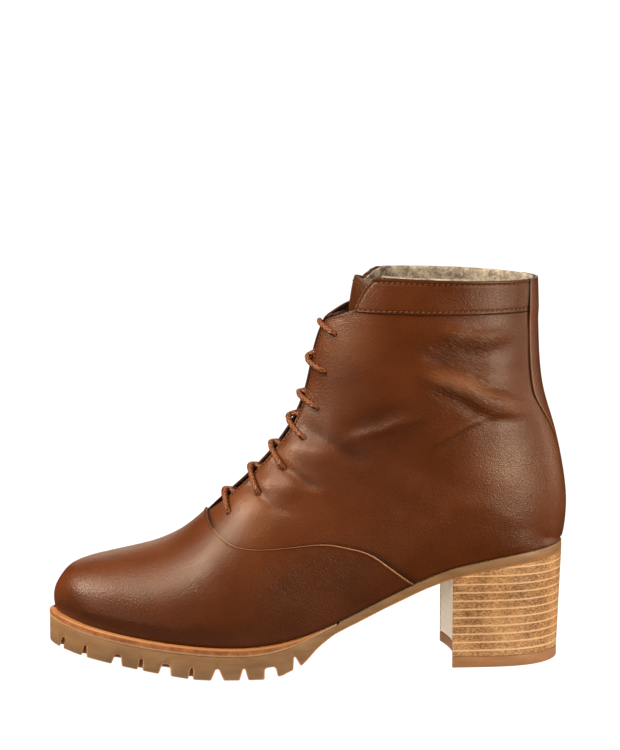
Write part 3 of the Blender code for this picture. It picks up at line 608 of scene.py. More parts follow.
quarter_bases = np.concatenate([np.linspace(11.1, HEEL_ROW, 75), np.linspace(15.07, CUFF_ROW, 85)])
quarter_columns = np.concatenate([np.linspace(0, 0.2, 32), np.linspace(0.2, 1, 92)[1:]])
quarters = []
for side in SIDES:
    rows, shares = quarter_rings(side, quarter_bases, quarter_columns)
    points, normals = lay(rows, shares, side)
    from_edge = (shares - throat_share(rows, side)) * half_girth(rows, side)
    # folds fade out towards the facing, the cuff and the back
    calm = ease((from_edge - 1) / 5) * ease((20.8 - rows) / 0.6) * ease((1 - shares) / 0.05)
    height, wrinkled = creased(points)
    height = height * calm
    # ridges: pull-up and painted highlight; troughs: painted shade
    pull_and_highlight, fold_and_patch_shade = RIDGE_PULL_AND_HIGHLIGHT * ease((height - 0.3) / 1.8), TROUGH_SHADE * ease((-height - 0.3) / 1.6)
    # patches of painted highlight and painted shade, added to the ridge and trough marks
    patch_light = painted_light(points)
    pull_and_highlight, fold_and_patch_shade = pull_and_highlight + np.maximum(patch_light, 0), fold_and_patch_shade + np.maximum(-patch_light, 0)
    height = height - GROOVE_DEEP * band(from_edge - FACING_GROOVE, 0.5)
    from_seam = ROW_SPACING * (rows - seam_row(shares))
    from_strip = (1 - shares - strip_share(rows)) * half_girth(rows, side)
    from_sole = np.where(rows < HEEL_ROW, SOLE_GIRTH * (1 - shares), FAR)
    # painted shade along the facing edge, the vamp seam and the back strip, under the cuff, above the sole,
    # in the troughs and in the dark patches
    burnt = np.maximum.reduce([
        0.6 * band(from_edge, 0.7), 0.7 * band(from_seam, 1.0),
        band(from_strip - 0.3, 0.9) * ease((rows - 16) / 1.0),
        0.6 * band(rows - 20.9, 0.08), 0.6 * band(from_sole, 1.1), fold_and_patch_shade])
    quarter = panel("quarter_" + side, points + height[..., None] * normals, normals,
                    worn=pull_and_highlight, burnt=burnt, wrinkled=wrinkled * calm)
    thicken(quarter, LEATHER_THICK, 0.3, 0.001)
    punches = []
    for centre, normal in zip(*shell(EYELETS["row"], EYELETS["share"], side)):
        bpy.ops.object.select_all(action="DESELECT")
        turn = Vector((0, 0, 1)).rotation_difference(Vector(normal)).to_euler()
        bpy.ops.mesh.primitive_cylinder_add(
            vertices=20, radius=EYELET_RADIUS * MM, depth=PUNCH_LONG * MM,
            location=(centre + SHIFT) * MM, rotation=turn)
        punches.append(bpy.context.object)
    cut_away(quarter, join_pieces("punch", punches))
    bpy.ops.object.shade_smooth_by_angle(angle=math.radians(50))
    quarters.append(quarter)

# Waxed calf: cloudy dye over fine pores, paler at cut edges and where highlight is painted, darker where
# shade is painted, wrinkled along the folds
FOLD_SLOPE = math.radians(26)
CALF_ROUGH = 0.36
PAINTED_SHADE_BROWN = srgb(26, 11, 5)
BROWN_DARK, BROWN, EDGE_AND_HIGHLIGHT_TAN = srgb(88, 42, 13), srgb(103, 51, 18), srgb(214, 150, 108)
calf, node, shade = new_material("calf_leather")
place = node("TexCoord").outputs["Object"]
pebble = node("TexVoronoi", Vector=place, Scale=1500.0).outputs["Distance"]
furrow = node("TexNoise", Vector=place, Scale=760.0, Detail=5.0, Distortion=0.6).outputs["Fac"]
cloud = node("TexNoise", Vector=place, Scale=45.0, Detail=6.0, Roughness=0.62).outputs["Fac"]
dyed = node("MapRange", Value=cloud, From_Min=0.32, From_Max=0.7).outputs["Result"]
colour = node("Mix", data_type="RGBA", Factor=dyed, A=BROWN_DARK, B=BROWN).outputs["Result"]
for layer, tone in (("worn", EDGE_AND_HIGHLIGHT_TAN), ("burnt", PAINTED_SHADE_BROWN)):
    mask = node("Attribute", attribute_name=layer).outputs["Fac"]
    colour = node("Mix", data_type="RGBA", Factor=mask, A=colour, B=tone).outputs["Result"]
pores = node("MapRange", Value=pebble, From_Max=0.4, To_Min=0.72).outputs["Result"]
speckled = node("Mix", data_type="RGBA", blend_type="MULTIPLY", Factor=1.0, A=colour, B=pores)
gloss = node("MapRange", Value=cloud, To_Min=CALF_ROUGH - 0.07, To_Max=CALF_ROUGH + 0.09)
along_fold = node("Mapping", vector_type="TEXTURE", Vector=place,
                  Rotation=(0, FOLD_SLOPE, 0), Scale=(1, 0.6, 0.22))
crinkle = node("TexNoise", Vector=along_fold.outputs["Vector"], Scale=230.0, Detail=3.0,
               Roughness=0.55, Distortion=0.8)
mask = node("Attribute", attribute_name="wrinkled").outputs["Fac"]
fine_fold = node("Math", crinkle.outputs["Fac"], mask, operation="MULTIPLY")
folds = node("Bump", Strength=1.0, Distance=0.0014, Height=fine_fold.outputs["Value"])
grain = node("Math", pebble, 0.8, furrow, operation="MULTIPLY_ADD")
bump = node("Bump", Strength=0.7, Distance=0.0002, Height=grain.outputs["Value"],
            Normal=folds.outputs["Normal"])
shade(Base_Color=speckled.outputs["Result"], Roughness=gloss.outputs["Result"],
      Normal=bump.outputs["Normal"], Specular_IOR_Level=0.35, Coat_Weight=0.06, Coat_Roughness=0.25)
for quarter in quarters:
    dress(quarter, calf, "upper_leather")

# Vamp
# The front of the boot over the toes: one panel of the same leather, pulled over the last and tucked
# in under the insole. Its upper edge is cut clean, skived, and glued over the quarters.
VAMP_RAISE, VAMP_TUCK, VAMP_GIRTH = 0.6, 2.5, 75
vamp_x = np.concatenate(
    [[2.32, 2.5, 2.9, 3.6, 4.6, 6, 8], np.linspace(9.5, 60, 40), np.linspace(61, 172, 88)])
station_rows = np.linspace(0, HEEL_ROW, 1501)
base_rows = np.interp(vamp_x, section(station_rows)["base_x"], station_rows)
seam_end = float(seam_row(1.0))
base_rows = np.append(
    base_rows[base_rows < 0.98 * seam_end],
    seam_end * (1 - np.array([0.0165, 0.0125, 0.009, 0.0065, 0.0045, 0.003, 0.0015, 0])))
shares = np.linspace(0, 1, 86)
halves = []
for side in SIDES:
    rows = (base_rows / seam_end)[:, None] * seam_row(shares)[None, :]
    spread = np.repeat(shares[None, :], len(base_rows), 0)
    points, normals = shell(rows, spread, side)
    steps = np.linalg.norm(np.diff(points, axis=0), axis=2)
    to_edge = np.concatenate([np.cumsum(steps[::-1], 0)[::-1], np.zeros((1, len(shares)))], 0)
    height = VAMP_RAISE + 0.3 * band(to_edge - 0.8, 0.6)
    slack = slackness(points, (0.22, 24.0), (0.06, 8.0))
    height = height + slack * ease(to_edge / 12) * ease((1 - spread) / 0.15)
    low = ease((spread - 0.94) / 0.06)
    normals[..., 2] *= 1 - 0.9 * low
    surface = points + height[..., None] * normals
    tuck = points[:, -1:] - VAMP_TUCK * normals[:, -1:] - np.array([0, 0, 0.25])
    surface = np.concatenate([surface, tuck], 1)
    at_throat = ease((0.3 - spread) / 0.06)
    # the vamp's pale cut top edge, partly a painted highlight along it
    worn = (0.5 + 0.3 * ease((spread - 0.55) / 0.1)) * band(to_edge, 0.5) * (1 - at_throat)
    # painted shade above the welt, along the throat edge and down the lower side of the vamp
    burnt = np.maximum.reduce([
        0.65 * band((1 - spread) * VAMP_GIRTH, 1.2), 0.8 * band(to_edge, 0.6) * at_throat,
        0.16 * ease((spread - 0.4) / 0.35) * ease(to_edge / 4)])
    normals, worn, burnt = [np.concatenate([sheet, sheet[:, -1:]], 1) for sheet in (normals, worn, burnt)]
    halves.append((surface, normals, worn, burnt))
grid, facing, worn, burnt = [
    np.concatenate([outer[:, ::-1], inner[:, 1:]], 1) for outer, inner in zip(*halves)]
vamp = panel("vamp", grid, facing, worn=worn, burnt=burnt)
thicken(vamp, LEATHER_THICK, 0.2)
dress(vamp, calf, "upper_leather", "upper")

# Cuff
# A band of the same leather round the collar, sewn over the top of the quarters with a slanting
# stitch. Its rim is folded and sewn down, and its front corners are rounded.
CUFF_RAISE, CUFF_THICK, CUFF_FOOT = 0.5, 1.3, 20.86
ROW_HEIGHT = 13.5
RIM_STITCH, CUFF_STITCH, FRONT_INSET = 21.87, 20.98, 1.9
CUFF_GROOVES = ((RIM_STITCH, 0.35, 0.6), (CUFF_STITCH, 0.22, 0.6), (CUFF_FOOT, 0.4, 0.5))
cuff_levels = np.concatenate([np.linspace(CUFF_FOOT, 21.1, 10), np.linspace(21.15, 21.7, 12),
                              np.linspace(21.73, TOP_ROW, 14)])
cuff_columns = np.concatenate([np.linspace(0, 0.05, 12), np.linspace(0.06, 1, 100)])
halves = []
for side in SIDES:
    rows = np.repeat(cuff_levels[:, None], len(cuff_columns), 1)
    front = cuff_front(cuff_levels, side)[:, None]
    spread = front + (1 - front) * cuff_columns[None, :]
    points, normals = shell(rows, spread, side)
    height = CUFF_RAISE + slackness(points, (0.28, 16.0), (0.08, 6.0))
    height = height + 0.3 * band((TOP_ROW - rows) * ROW_HEIGHT - 1.0, 0.8)
    for level, deep, wide in CUFF_GROOVES:
        height = height - deep * band((rows - level) * ROW_HEIGHT, wide)
    from_front = (spread - front) * half_girth(rows, side)
    height = height - 0.3 * band(from_front - FRONT_INSET, 0.6) * ease((21.86 - rows) / 0.05)
    # painted shade at the rim, the cuff seam, under the back strip and along the front edge
    burnt = np.maximum.reduce([
        0.5 * ease((rows - 21.93) / 0.05), 0.5 * band(rows - CUFF_FOOT, 0.05),
        ease((spread - 1 + STRIP_WIDE + 0.016) / 0.008), 0.4 * band(from_front, 0.8)])
    halves.append((points + height[..., None] * normals, normals, burnt))


def whole(halves):
    """Join each grid of the outer half of a panel to that of the inner half, at its last column."""
    return [np.concatenate([outer, inner[:, -2::-1]], 1) for outer, inner in zip(*halves)]


grid, facing, burnt = whole(halves)
cuff = panel("cuff", grid, facing, burnt=burnt)
thicken(cuff, CUFF_THICK, 0.35, 0.004)
dress(cuff, calf, "upper_leather")

# Back strip
# A tapering strip of leather sewn over the seam at the back, wide at the collar and drawn to a narrow
# line above the heel. Its cut edges show the paler inside of the leather.
STRIP_FOOT, STRIP_TOP, STRIP_THICK = 15.25, 22.01, 1.2
strip_rows = np.linspace(STRIP_FOOT, STRIP_TOP, 120)
halves = []
for side in SIDES:
    way = 1 - np.concatenate([np.linspace(0, 0.16, 8), np.linspace(0.25, 1, 10)])[None, :]
    spread = 1 - strip_share(strip_rows)[:, None] * way
    rows = np.repeat(strip_rows[:, None], spread.shape[1], 1)
    points, normals = shell(rows, spread, side)
    height = 0.35 + 0.35 * ease((rows - STRIP_FROM) / 1.7) + 0.35 * ease((rows - 20.6) / 0.35)
    from_side = (spread - spread[:, :1]) * half_girth(rows, side)
    # the paler cut edges of the strip
    worn = 0.3 * band(from_side - 0.5, 0.6) * ease((rows - 16.5) / 1.0)
    # painted shade at the top of the strip
    burnt = 0.45 * ease((rows - 21.84) / 0.06)
    halves.append((points + height[..., None] * normals, normals, worn, burnt))
grid, facing, worn, burnt = whole(halves)
back_strip = panel("back_strip", grid, facing, worn=worn, burnt=burnt)
thicken(back_strip, STRIP_THICK, 0.3, 0.004)
dress(back_strip, calf, "upper_leather")

# Stitches
# Brown waxed thread through slanting awl slits: one row along each facing, one round the cuff seam, and
# one under the rim and down the cuff's front edges. A short tack of cross stitches holds the throat.
# the slits are dark as painted shade in the awl holes
SLIT_SHADE, THREAD_BROWN = srgb(34, 15, 8), srgb(150, 88, 48)
FACING_PITCH, CUFF_PITCH, TACK_PITCH = 1.9, 2.7, 2.0
FACING_INSET, RIM_TURN = 1.6, 14


def stitch_place(path, normals, pitch):
    """Even places along a line on the boot with the directions along and out of it."""
    length = np.append(0, np.cumsum(np.linalg.norm(np.diff(path, axis=0), axis=1)))
    at = np.arange(pitch / 2, length[-1], pitch)

    def follow(values, at):
        return np.stack([np.interp(at, length, values[:, k]) for k in range(3)], -1)

    ahead = follow(path, at + 0.3) - follow(path, at - 0.3)
    ahead /= np.linalg.norm(ahead, axis=1, keepdims=True)
    return follow(path, at), ahead, follow(normals, at)


def stitch_row(name, lines, size, slant, lift, shift):
    """One stitch, modelled once as a flattened ball and copied along rows as a single piece."""
    bpy.ops.object.select_all(action="DESELECT")
    bpy.ops.mesh.primitive_uv_sphere_add(segments=6, ring_count=4, radius=1)
    pattern = bpy.context.object
    corners = np.array([v.co for v in pattern.data.vertices]) * size
    faces = [tuple(face.vertices) for face in pattern.data.polygons]
    bpy.data.objects.remove(pattern, do_unlink=True)
    all_corners, all_faces = [], []
    for point, ahead, up in lines:
        for centre, forward, out in zip(point, ahead, up):
            aside = np.cross(out, forward)
            lean = math.cos(slant) * forward + math.sin(slant) * aside
            axes = np.stack([lean, np.cross(out, lean), out])
            first = sum(len(block) for block in all_corners)
            all_corners.append(centre + lift * out + shift * forward + corners @ axes)
            all_faces += [tuple(first + k for k in face) for face in faces]
    data = bpy.data.meshes.new(name)
    data.from_pydata((np.concatenate(all_corners) + SHIFT) * MM, [], all_faces)
    data.shade_smooth()
    thing = bpy.data.objects.new(name, data)
    bpy.context.scene.collection.objects.link(thing)
    return thing


def effect(name, inputs, **outputs):
    """An empty node group with colour inputs: the group, its node maker, its inputs and its output setter."""
    group = bpy.data.node_groups.new(name, "ShaderNodeTree")
    for socket in inputs:
        group.interface.new_socket(socket, in_out="INPUT", socket_type="NodeSocketColor")
    for socket, kind in outputs.items():
        group.interface.new_socket(socket, in_out="OUTPUT", socket_type="NodeSocket" + kind)
    given = group.nodes.new("NodeGroupInput").outputs
    end = group.nodes.new("NodeGroupOutput")
    return group, node_maker(group), given, lambda **values: wire(group, end, values)


thread_fleck, node, given, put_out = effect("thread_fleck", ("Deep", "Bright"), Colour="Color")
fleck = node("TexNoise", Vector=node("TexCoord").outputs["Object"], Scale=800.0, Detail=2.0)
mixed = node("Mix", data_type="RGBA", Factor=fleck.outputs["Fac"], A=given["Deep"], B=given["Bright"])
put_out(Colour=mixed.outputs["Result"])


def thread_finish(name, colour, rough):
    """Waxed thread, a little uneven in colour."""
    material, node, shade = new_material(name)
    deep = tuple(0.6 * c for c in colour[:3]) + (1,)
    uneven = node("Group", node_tree=thread_fleck, Deep=deep, Bright=colour)
    shade(Base_Color=uneven.outputs["Colour"], Roughness=rough)
    return material


facing_lines, cuff_lines, tack_lines = [], [], []
for side in SIDES:
    rows = np.linspace(8.5, 19.65, 160)
    spread = throat_share(rows, side) + girth_share(FACING_INSET, rows, side)
    lane = np.linspace(0.022, 0.15, 60)
    corner_rows = CUFF_ROW - CORNER_DROP * (1 - np.minimum(lane / CORNER_SHARE, 1)) ** 2 - 0.2
    edge = throat_share(corner_rows, side)
    rows = np.concatenate([rows, corner_rows])
    spread = np.concatenate([spread, edge + (1 - edge) * lane])
    facing_lines.append(stitch_place(*shell(rows, spread, side), FACING_PITCH))
    strip_edge = 1 - STRIP_WIDE - 0.012
    spread = np.linspace(cuff_front(CUFF_STITCH, side) + 0.004, strip_edge, 120)
    rows = CUFF_STITCH + 0 * spread
    cuff_lines.append(stitch_place(*shell(rows, spread, side), CUFF_PITCH))
    front_rows = np.linspace(CUFF_STITCH + 0.1, TOP_ROW, 60)
    front_spread = cuff_front(front_rows, side) + girth_share(FRONT_INSET, front_rows, side)
    front_spread += 0.0002 * np.arange(60)
    spread = np.concatenate([front_spread, np.linspace(front_spread[-1] + 0.004, strip_edge, 120)])
    climb_rows = np.interp(spread, front_spread, front_rows) + 3 * np.maximum(0, spread - front_spread[-1])
    rows = RIM_STITCH - np.log(1 + np.exp(RIM_TURN * (RIM_STITCH - climb_rows))) / RIM_TURN
    cuff_lines.append(stitch_place(*shell(rows, spread, side), CUFF_PITCH))
    spread = np.linspace(0.015, 0.27, 50)
    rows = seam_row(spread) - 0.06
    tack_lines.append(stitch_place(*shell(rows, spread, side), TACK_PITCH))
slit_shade_look = thread_finish("stitch_slit_shade", SLIT_SHADE, 0.7)
thread_look = thread_finish("brown_thread", THREAD_BROWN, 0.5)
for name, lines, size, slant, lift, shift, look in (
        ("facing_slits", facing_lines, (0.55, 0.26, 0.22), 0.15, 0.0, 0.95, slit_shade_look),
        ("facing_thread", facing_lines, (0.62, 0.24, 0.2), 0.1, -0.06, 0.0, thread_look),
        ("cuff_slits", cuff_lines, (0.75, 0.33, 0.3), 0.9, 0.2, 1.35, slit_shade_look),
        ("cuff_thread", cuff_lines, (0.95, 0.3, 0.3), 0.35, 0.22, 0.0, thread_look),
        ("throat_tack", tack_lines, (1.2, 0.3, 0.3), 1.1, 0.75, 0.0, slit_shade_look),
        ("throat_thread", tack_lines, (0.7, 0.28, 0.28), 0.4, 0.8, 1.0, thread_look)):
    dress(stitch_row(name, lines, size, slant, lift, shift), look, "upper_leather")

# Tongue
# A separate strip of leather behind the throat with a felt back, sewn in at its foot. Its top stands
# free of the facings and is edged with a row of stitches.
TONGUE_HALF, TONGUE_DEPTH, TONGUE_PRESS = 21.0, 2.45, 2.0
TONGUE_COLUMNS, TONGUE_HEM, FELT_THICK = 22, 0.17, 0.7
TONGUE_LEAN, TONGUE_RETURN = 8.0, 3.4
TONGUE_FOOT, TONGUE_TOP, TONGUE_DROP, TONGUE_FLARE = 7.75, 22.0, 0.3, 7.0
tongue_rows = np.concatenate([np.linspace(TONGUE_FOOT, 20, 70), np.linspace(20.06, TONGUE_TOP, 28)])
lean = TONGUE_LEAN * ease((tongue_rows - 17.5) / 3.0) - TONGUE_RETURN * ease((tongue_rows - 20.5) / 1.5)
press = TONGUE_PRESS * ease((tongue_rows - 7.9) / 0.6) * ease((20.5 - tongue_rows) / 2.5)
tongue_layers = []
for layer_depth, layer_half in (
        (TONGUE_DEPTH, TONGUE_HALF), (TONGUE_DEPTH + LEATHER_THICK, TONGUE_HALF - 0.6)):
    halves = []
    for side in SIDES:
        aside = np.linspace(1, 0, TONGUE_COLUMNS)[None, :]
        wide = layer_half + TONGUE_FLARE * ease((tongue_rows - 19) / 2.5)
        spread = aside * girth_share(wide, tongue_rows, side)[:, None]
        rows = tongue_rows[:, None] - TONGUE_DROP * aside ** 2 * ease((tongue_rows - 18) / 4)[:, None]
        points, normals = skin(rows, spread, side), outward(np.minimum(rows, 21.9), spread, side)
        if layer_depth > TONGUE_DEPTH:
            rows = np.minimum(rows, TONGUE_TOP - 0.16)
            points = skin(rows, spread, side)
        depth = (layer_depth + lean + press)[:, None]
        halves.append((points - depth[..., None] * normals, normals))
    tongue_layers.append(whole(halves))
# painted shade towards the top of the tongue
burnt = np.repeat(0.3 * ease(tongue_rows - 19.5)[:, None], 2 * TONGUE_COLUMNS - 1, 1)
tongue = panel("tongue_leather", *tongue_layers[0], burnt=burnt)
thicken(tongue, LEATHER_THICK, 0.3)
dress(tongue, calf, "tongue_leather", "tongue")
hem = int(np.argmin(np.abs(tongue_rows - TONGUE_TOP + TONGUE_HEM)))
hem_line = [stitch_place(tongue_layers[0][0][hem, 2:-2], tongue_layers[0][1][hem, 2:-2], 1.6)]
hem_thread = stitch_row("tongue_thread", hem_line, (0.55, 0.25, 0.25), 0.3, 0.05, 0.0)
dress(hem_thread, thread_look, "tongue_leather")
hem_slits = stitch_row("tongue_slits", hem_line, (0.4, 0.3, 0.25), 0.6, 0.05, 0.8)
dress(hem_slits, slit_shade_look, "tongue_leather")
tongue_felt = panel("tongue_felt", *tongue_layers[1])
thicken(tongue_felt, FELT_THICK)
dress(tongue_felt, felt, "tongue_leather")

# Lace
# One round braided cord, waxed orange brown. From a bar hidden under the lowest eyelets both ends
# climb crosswise, out of each eyelet over the facing and in under the other one. A straight bar joins
# the top eyelets.
LACE_RADIUS, LACE_STEP, LACE_SIDES = 1.32, 0.55, 14
LACE_DEEP, LACE_BRIGHT = srgb(84, 42, 20), srgb(150, 86, 48)
BRAID_STRANDS, BRAID_PITCH = 4, 2.9
UNDER = -3.2
OTHER = {"outer": "inner", "inner": "outer"}


def on_boot(row, share, side, lift):
    """One point over the last, or under it with a minus lift."""
    row, share = np.array(float(row)), np.array(float(share))
    return skin(row, share, side) + lift * outward(row, share, side)


def crossing(index, side):
    """Path points from one eyelet across the throat to the next eyelet of the other side."""
    row, share = EYELETS["row"][index], EYELETS["share"][index]
    next_row, next_share = EYELETS["row"][index + 1], EYELETS["share"][index + 1]
    rise = next_row - row
    edge = float(throat_share(np.array(row + 0.3 * rise), side))
    far_edge = float(throat_share(np.array(row + 0.7 * rise), OTHER[side]))
    top = 1.7 if side == "outer" else 1.4
    return [
        on_boot(row, share, side, UNDER),
        on_boot(row, share, side, -0.5),
        on_boot(row, share - 0.12 * (share - edge), side, 1.15),
        on_boot(row + 0.01 * rise, share - 0.5 * (share - edge), side, 1.3),
        on_boot(row + 0.05 * rise, edge, side, top),
        on_boot(row + 0.1 * rise, 0.55 * edge, side, top),
        on_boot(row + 0.19 * rise, 0, side, 0.5),
        on_boot(row + 0.28 * rise, 0.6 * far_edge, OTHER[side], -1.9),
        on_boot(row + 0.42 * rise, 1.25 * far_edge, OTHER[side], UNDER),
        on_boot(row + 0.85 * rise, 0.5 * (far_edge + next_share), OTHER[side], UNDER)]


def climb(side):
    """Path of one end of the lace from the lowest eyelet of a side to the top."""
    points = []
    for index in range(len(EYELETS["row"]) - 1):
        points += crossing(index, side)
        side = OTHER[side]
    return points


def smooth_path(points, pitch):
    """Even points along a smooth curve through the given ones."""
    points = np.array(points)
    run = np.append(0, np.cumsum(np.linalg.norm(np.diff(points, axis=0), axis=1) ** 0.6))
    fine = np.linspace(0, run[-1], 60 * len(points))
    curve = np.stack([spline(fine, run, points[:, k]) for k in range(3)], -1)
    length = np.append(0, np.cumsum(np.linalg.norm(np.diff(curve, axis=0), axis=1)))
    even = np.linspace(0, length[-1], int(length[-1] / pitch))
    return np.stack([np.interp(even, length, curve[:, k]) for k in range(3)], -1), length[-1]


def cord(name, path, radius, sides):
    """A closed round cord along a path, without twist."""
    ahead = np.gradient(path, axis=0)
    ahead /= np.linalg.norm(ahead, axis=1, keepdims=True)
    across = np.cross(ahead[0], [0, 0, 1.0])
    rings, normals = [], []
    turns = np.linspace(0, 2 * math.pi, sides + 1)
    for point, forward in zip(path, ahead):
        across = across - forward * (across @ forward)
        across = across / np.linalg.norm(across)
        spokes = np.cos(turns)[:, None] * across + np.sin(turns)[:, None] * np.cross(forward, across)
        rings.append(point + radius * spokes)
        normals.append(spokes)
    rings = [np.repeat(path[:1], sides + 1, 0), *rings, np.repeat(path[-1:], sides + 1, 0)]
    normals = [0 * normals[0], *normals, 0 * normals[0]]
    return panel(name, np.array(rings), np.array(normals))


top_row, top_share = EYELETS["row"][-1], EYELETS["share"][-1]
low_row, low_share = EYELETS["row"][0], EYELETS["share"][0]
top_edge = float(throat_share(np.array(top_row), "outer"))
top_bar = [
    on_boot(top_row, top_share, "outer", UNDER), on_boot(top_row, top_share, "outer", -0.5),
    on_boot(top_row + 0.03, 0.9 * top_share + 0.1 * top_edge, "outer", 1.15),
    on_boot(top_row + 0.15, 0.5 * (top_share + top_edge), "outer", 1.3),
    on_boot(top_row + 0.3, top_edge, "outer", 1.7), on_boot(top_row + 0.36, 0, "outer", 1.2),
    on_boot(top_row + 0.3, top_edge, "inner", 1.3),
    on_boot(top_row + 0.1, 0.5 * (top_share + top_edge), "inner", 1.3),
    on_boot(top_row, top_share, "inner", 0.6), on_boot(top_row, top_share, "inner", UNDER)]
low_bar = [on_boot(low_row - 0.1, 0.4 * low_share, side, UNDER - 0.3) for side in ("inner", "outer")]
route = climb("inner")[::-1] + low_bar + climb("outer") + top_bar
lace_path, lace_length = smooth_path(route, LACE_STEP)
lace = cord("lace", lace_path, LACE_RADIUS, LACE_SIDES)

waxed, node, shade = new_material("waxed_cord")
along = node("SeparateXYZ", Vector=node("UVMap").outputs["UV"]).outputs
waves = []
for way in (1, -1):
    around = node("Math", along["X"], 2 * math.pi * BRAID_STRANDS, operation="MULTIPLY").outputs["Value"]
    turns = way * 2 * math.pi * lace_length / BRAID_PITCH
    forward = node("Math", along["Y"], turns, around, operation="MULTIPLY_ADD").outputs["Value"]
    waves.append(node("Math", forward, operation="SINE").outputs["Value"])
braid = node("Math", *waves, operation="MAXIMUM").outputs["Value"]
fibre = node("TexNoise", Vector=node("TexCoord").outputs["Object"], Scale=900.0, Detail=3.0)
# the braid's grooves are painted darker as shade, on top of a random fibre tone
tone = node("Math", braid, 0.25, fibre.outputs["Fac"], operation="MULTIPLY_ADD").outputs["Value"]
colour = two_tone(node("ValToRGB", Fac=tone), 0.25, LACE_DEEP, 0.85, LACE_BRIGHT)
bump = node("Bump", Strength=0.7, Distance=0.0003, Height=braid)
shade(Base_Color=colour, Normal=bump.outputs["Normal"], Roughness=0.45)
dress(lace, waxed, "lace_cord", *[f"lace_{k}" for k in range(1, 8)])

# Welt
# A strip of veg-tanned leather round the forefoot, between the upper and the sole. Its top is painted
# paler, as if lit from above, and its side is burnished in dark blotches; it thins out where the waist
# begins.
GAP = 0.3
WELT_DARK, WELT_PALE = srgb(140, 82, 46), srgb(184, 122, 78)
WELT_TOP_LIT, WELT_LINE = srgb(180, 122, 74), srgb(226, 186, 146)
WELT_THICK, WELT_END_THICK, WELT_INSIDE = 3.6, 0.9, 5
WELT_THIN_FROM, WELT_END = 96.0, 138.0
EDGE_FRONT, EDGE_BACK = 3.5, 0.6
WAIST_FROM, WAIST_TO = 108.0, 142.0
TOE, HEEL_END = INSOLE_OUTLINE["x"][0], INSOLE_OUTLINE["x"][-1]


def edge_margin(x):
    """How far welt and outsole stand out past the upper."""
    return EDGE_FRONT + (EDGE_BACK - EDGE_FRONT) * ease((x - WAIST_FROM) / (WAIST_TO - WAIST_FROM))


def welt_thick(x):
    """Welt thickness, thinning out at the waist."""
    thinning = ease((x - WELT_THIN_FROM) / (WELT_END - WELT_THIN_FROM))
    return WELT_THICK + (WELT_END_THICK - WELT_THICK) * thinning


def loop_normals(loop):
    """Outward unit normals of a closed outline in the plane."""
    along = np.roll(loop, -1, 0) - np.roll(loop, 1, 0)
    normal = np.stack([along[:, 1], -along[:, 0]], -1)
    normal /= np.linalg.norm(normal, axis=1, keepdims=True)
    return normal if (normal * (loop - loop.mean(0))).sum() > 0 else -normal


stations = TOE + (HEEL_END - TOE) * (1 - np.cos(np.linspace(0, math.pi, 240))) / 2


def outline_loop():
    """Insole outline from the heel round the outer side to the toe and back, with its normals."""
    outer = np.stack([stations, -half_width(stations, "outer")], -1)[::-1]
    inner = np.stack([stations, half_width(stations, "inner")], -1)
    loop = np.concatenate([outer, inner[1:-1]])
    return loop, loop_normals(loop)


LOOP, LOOP_NORMAL = outline_loop()


def sweep(loop, normal, corners):
    """Rings of a section swept along the sole's edge; each corner gives reach and height."""
    rings = []
    for reach, height in corners:
        flat = loop + normal * np.reshape(reach, (-1, 1))
        rings.append(np.concatenate([flat, np.reshape(height, (-1, 1)) + 0 * flat[:, :1]], 1))
    return np.stack(rings, 1)


def cap_ends(thing):
    """Close the open ends of a mesh with faces and point all faces outward."""
    with editing(thing):
        bpy.ops.mesh.region_to_loop()
        bpy.ops.mesh.fill_holes(sides=0)
        bpy.ops.mesh.select_all(action="SELECT")
        bpy.ops.mesh.normals_make_consistent(inside=False)


near_front = np.flatnonzero(LOOP[:, 0] < WELT_END)
run, run_normal = LOOP[near_front], LOOP_NORMAL[near_front]
x = run[:, 0]
reach, top = edge_margin(x), feather(x) - GAP
foot = top - welt_thick(x)
soft = np.minimum(0.7, 0.35 * welt_thick(x))
hidden = 0 * x - WELT_INSIDE
corners = [(hidden, top)]
corners += [(reach - soft * (1 - math.sin(a)), top - soft * (1 - math.cos(a)))
            for a in np.linspace(0, math.pi / 2, 5)]
corners += [(reach, top + (foot - top) * u) for u in (0.35, 0.5, 0.65)]
corners += [(reach - 0.6 * soft * (1 - math.cos(a)), foot + 0.6 * soft * (1 - math.sin(a)))
            for a in np.linspace(0, math.pi / 2, 4)]
corners += [(hidden, foot), (hidden, top)]
grid = sweep(run, run_normal, corners)
outside = np.concatenate([run_normal, 0 * run_normal[:, :1]], 1)[:, None] + 0 * grid
welt = panel("welt_strip", grid, outside)
cap_ends(welt)
bpy.ops.object.shade_smooth_by_angle(angle=math.radians(60))

veg, node, shade = new_material("burnished_welt")
place = node("TexCoord").outputs["Object"]
blotch = node("TexNoise", Vector=place, Scale=150.0, Detail=5.0, Roughness=0.65).outputs["Fac"]
streak = node("TexNoise", Vector=place, Scale=500.0, Detail=4.0, Roughness=0.7).outputs["Fac"]
blend = node("Mix", data_type="FLOAT", Factor=0.35, A=blotch, B=streak).outputs[0]
burnish = two_tone(node("ValToRGB", Fac=blend), 0.38, WELT_DARK, 0.58, WELT_PALE)
# the top is painted lighter as lit from above; the side is darker and gets the burnished blotches
mask = node("Attribute", attribute_name="side").outputs["Fac"]
colour = node("Mix", data_type="RGBA", Factor=mask, A=WELT_TOP_LIT, B=burnish).outputs["Result"]
mask = node("Attribute", attribute_name="foot_line").outputs["Fac"]
colour = node("Mix", data_type="RGBA", Factor=mask, A=colour, B=WELT_LINE).outputs["Result"]
bump = node("Bump", Strength=0.3, Distance=0.0004, Height=streak)
shade(Base_Color=colour, Normal=bump.outputs["Normal"], Roughness=0.5)


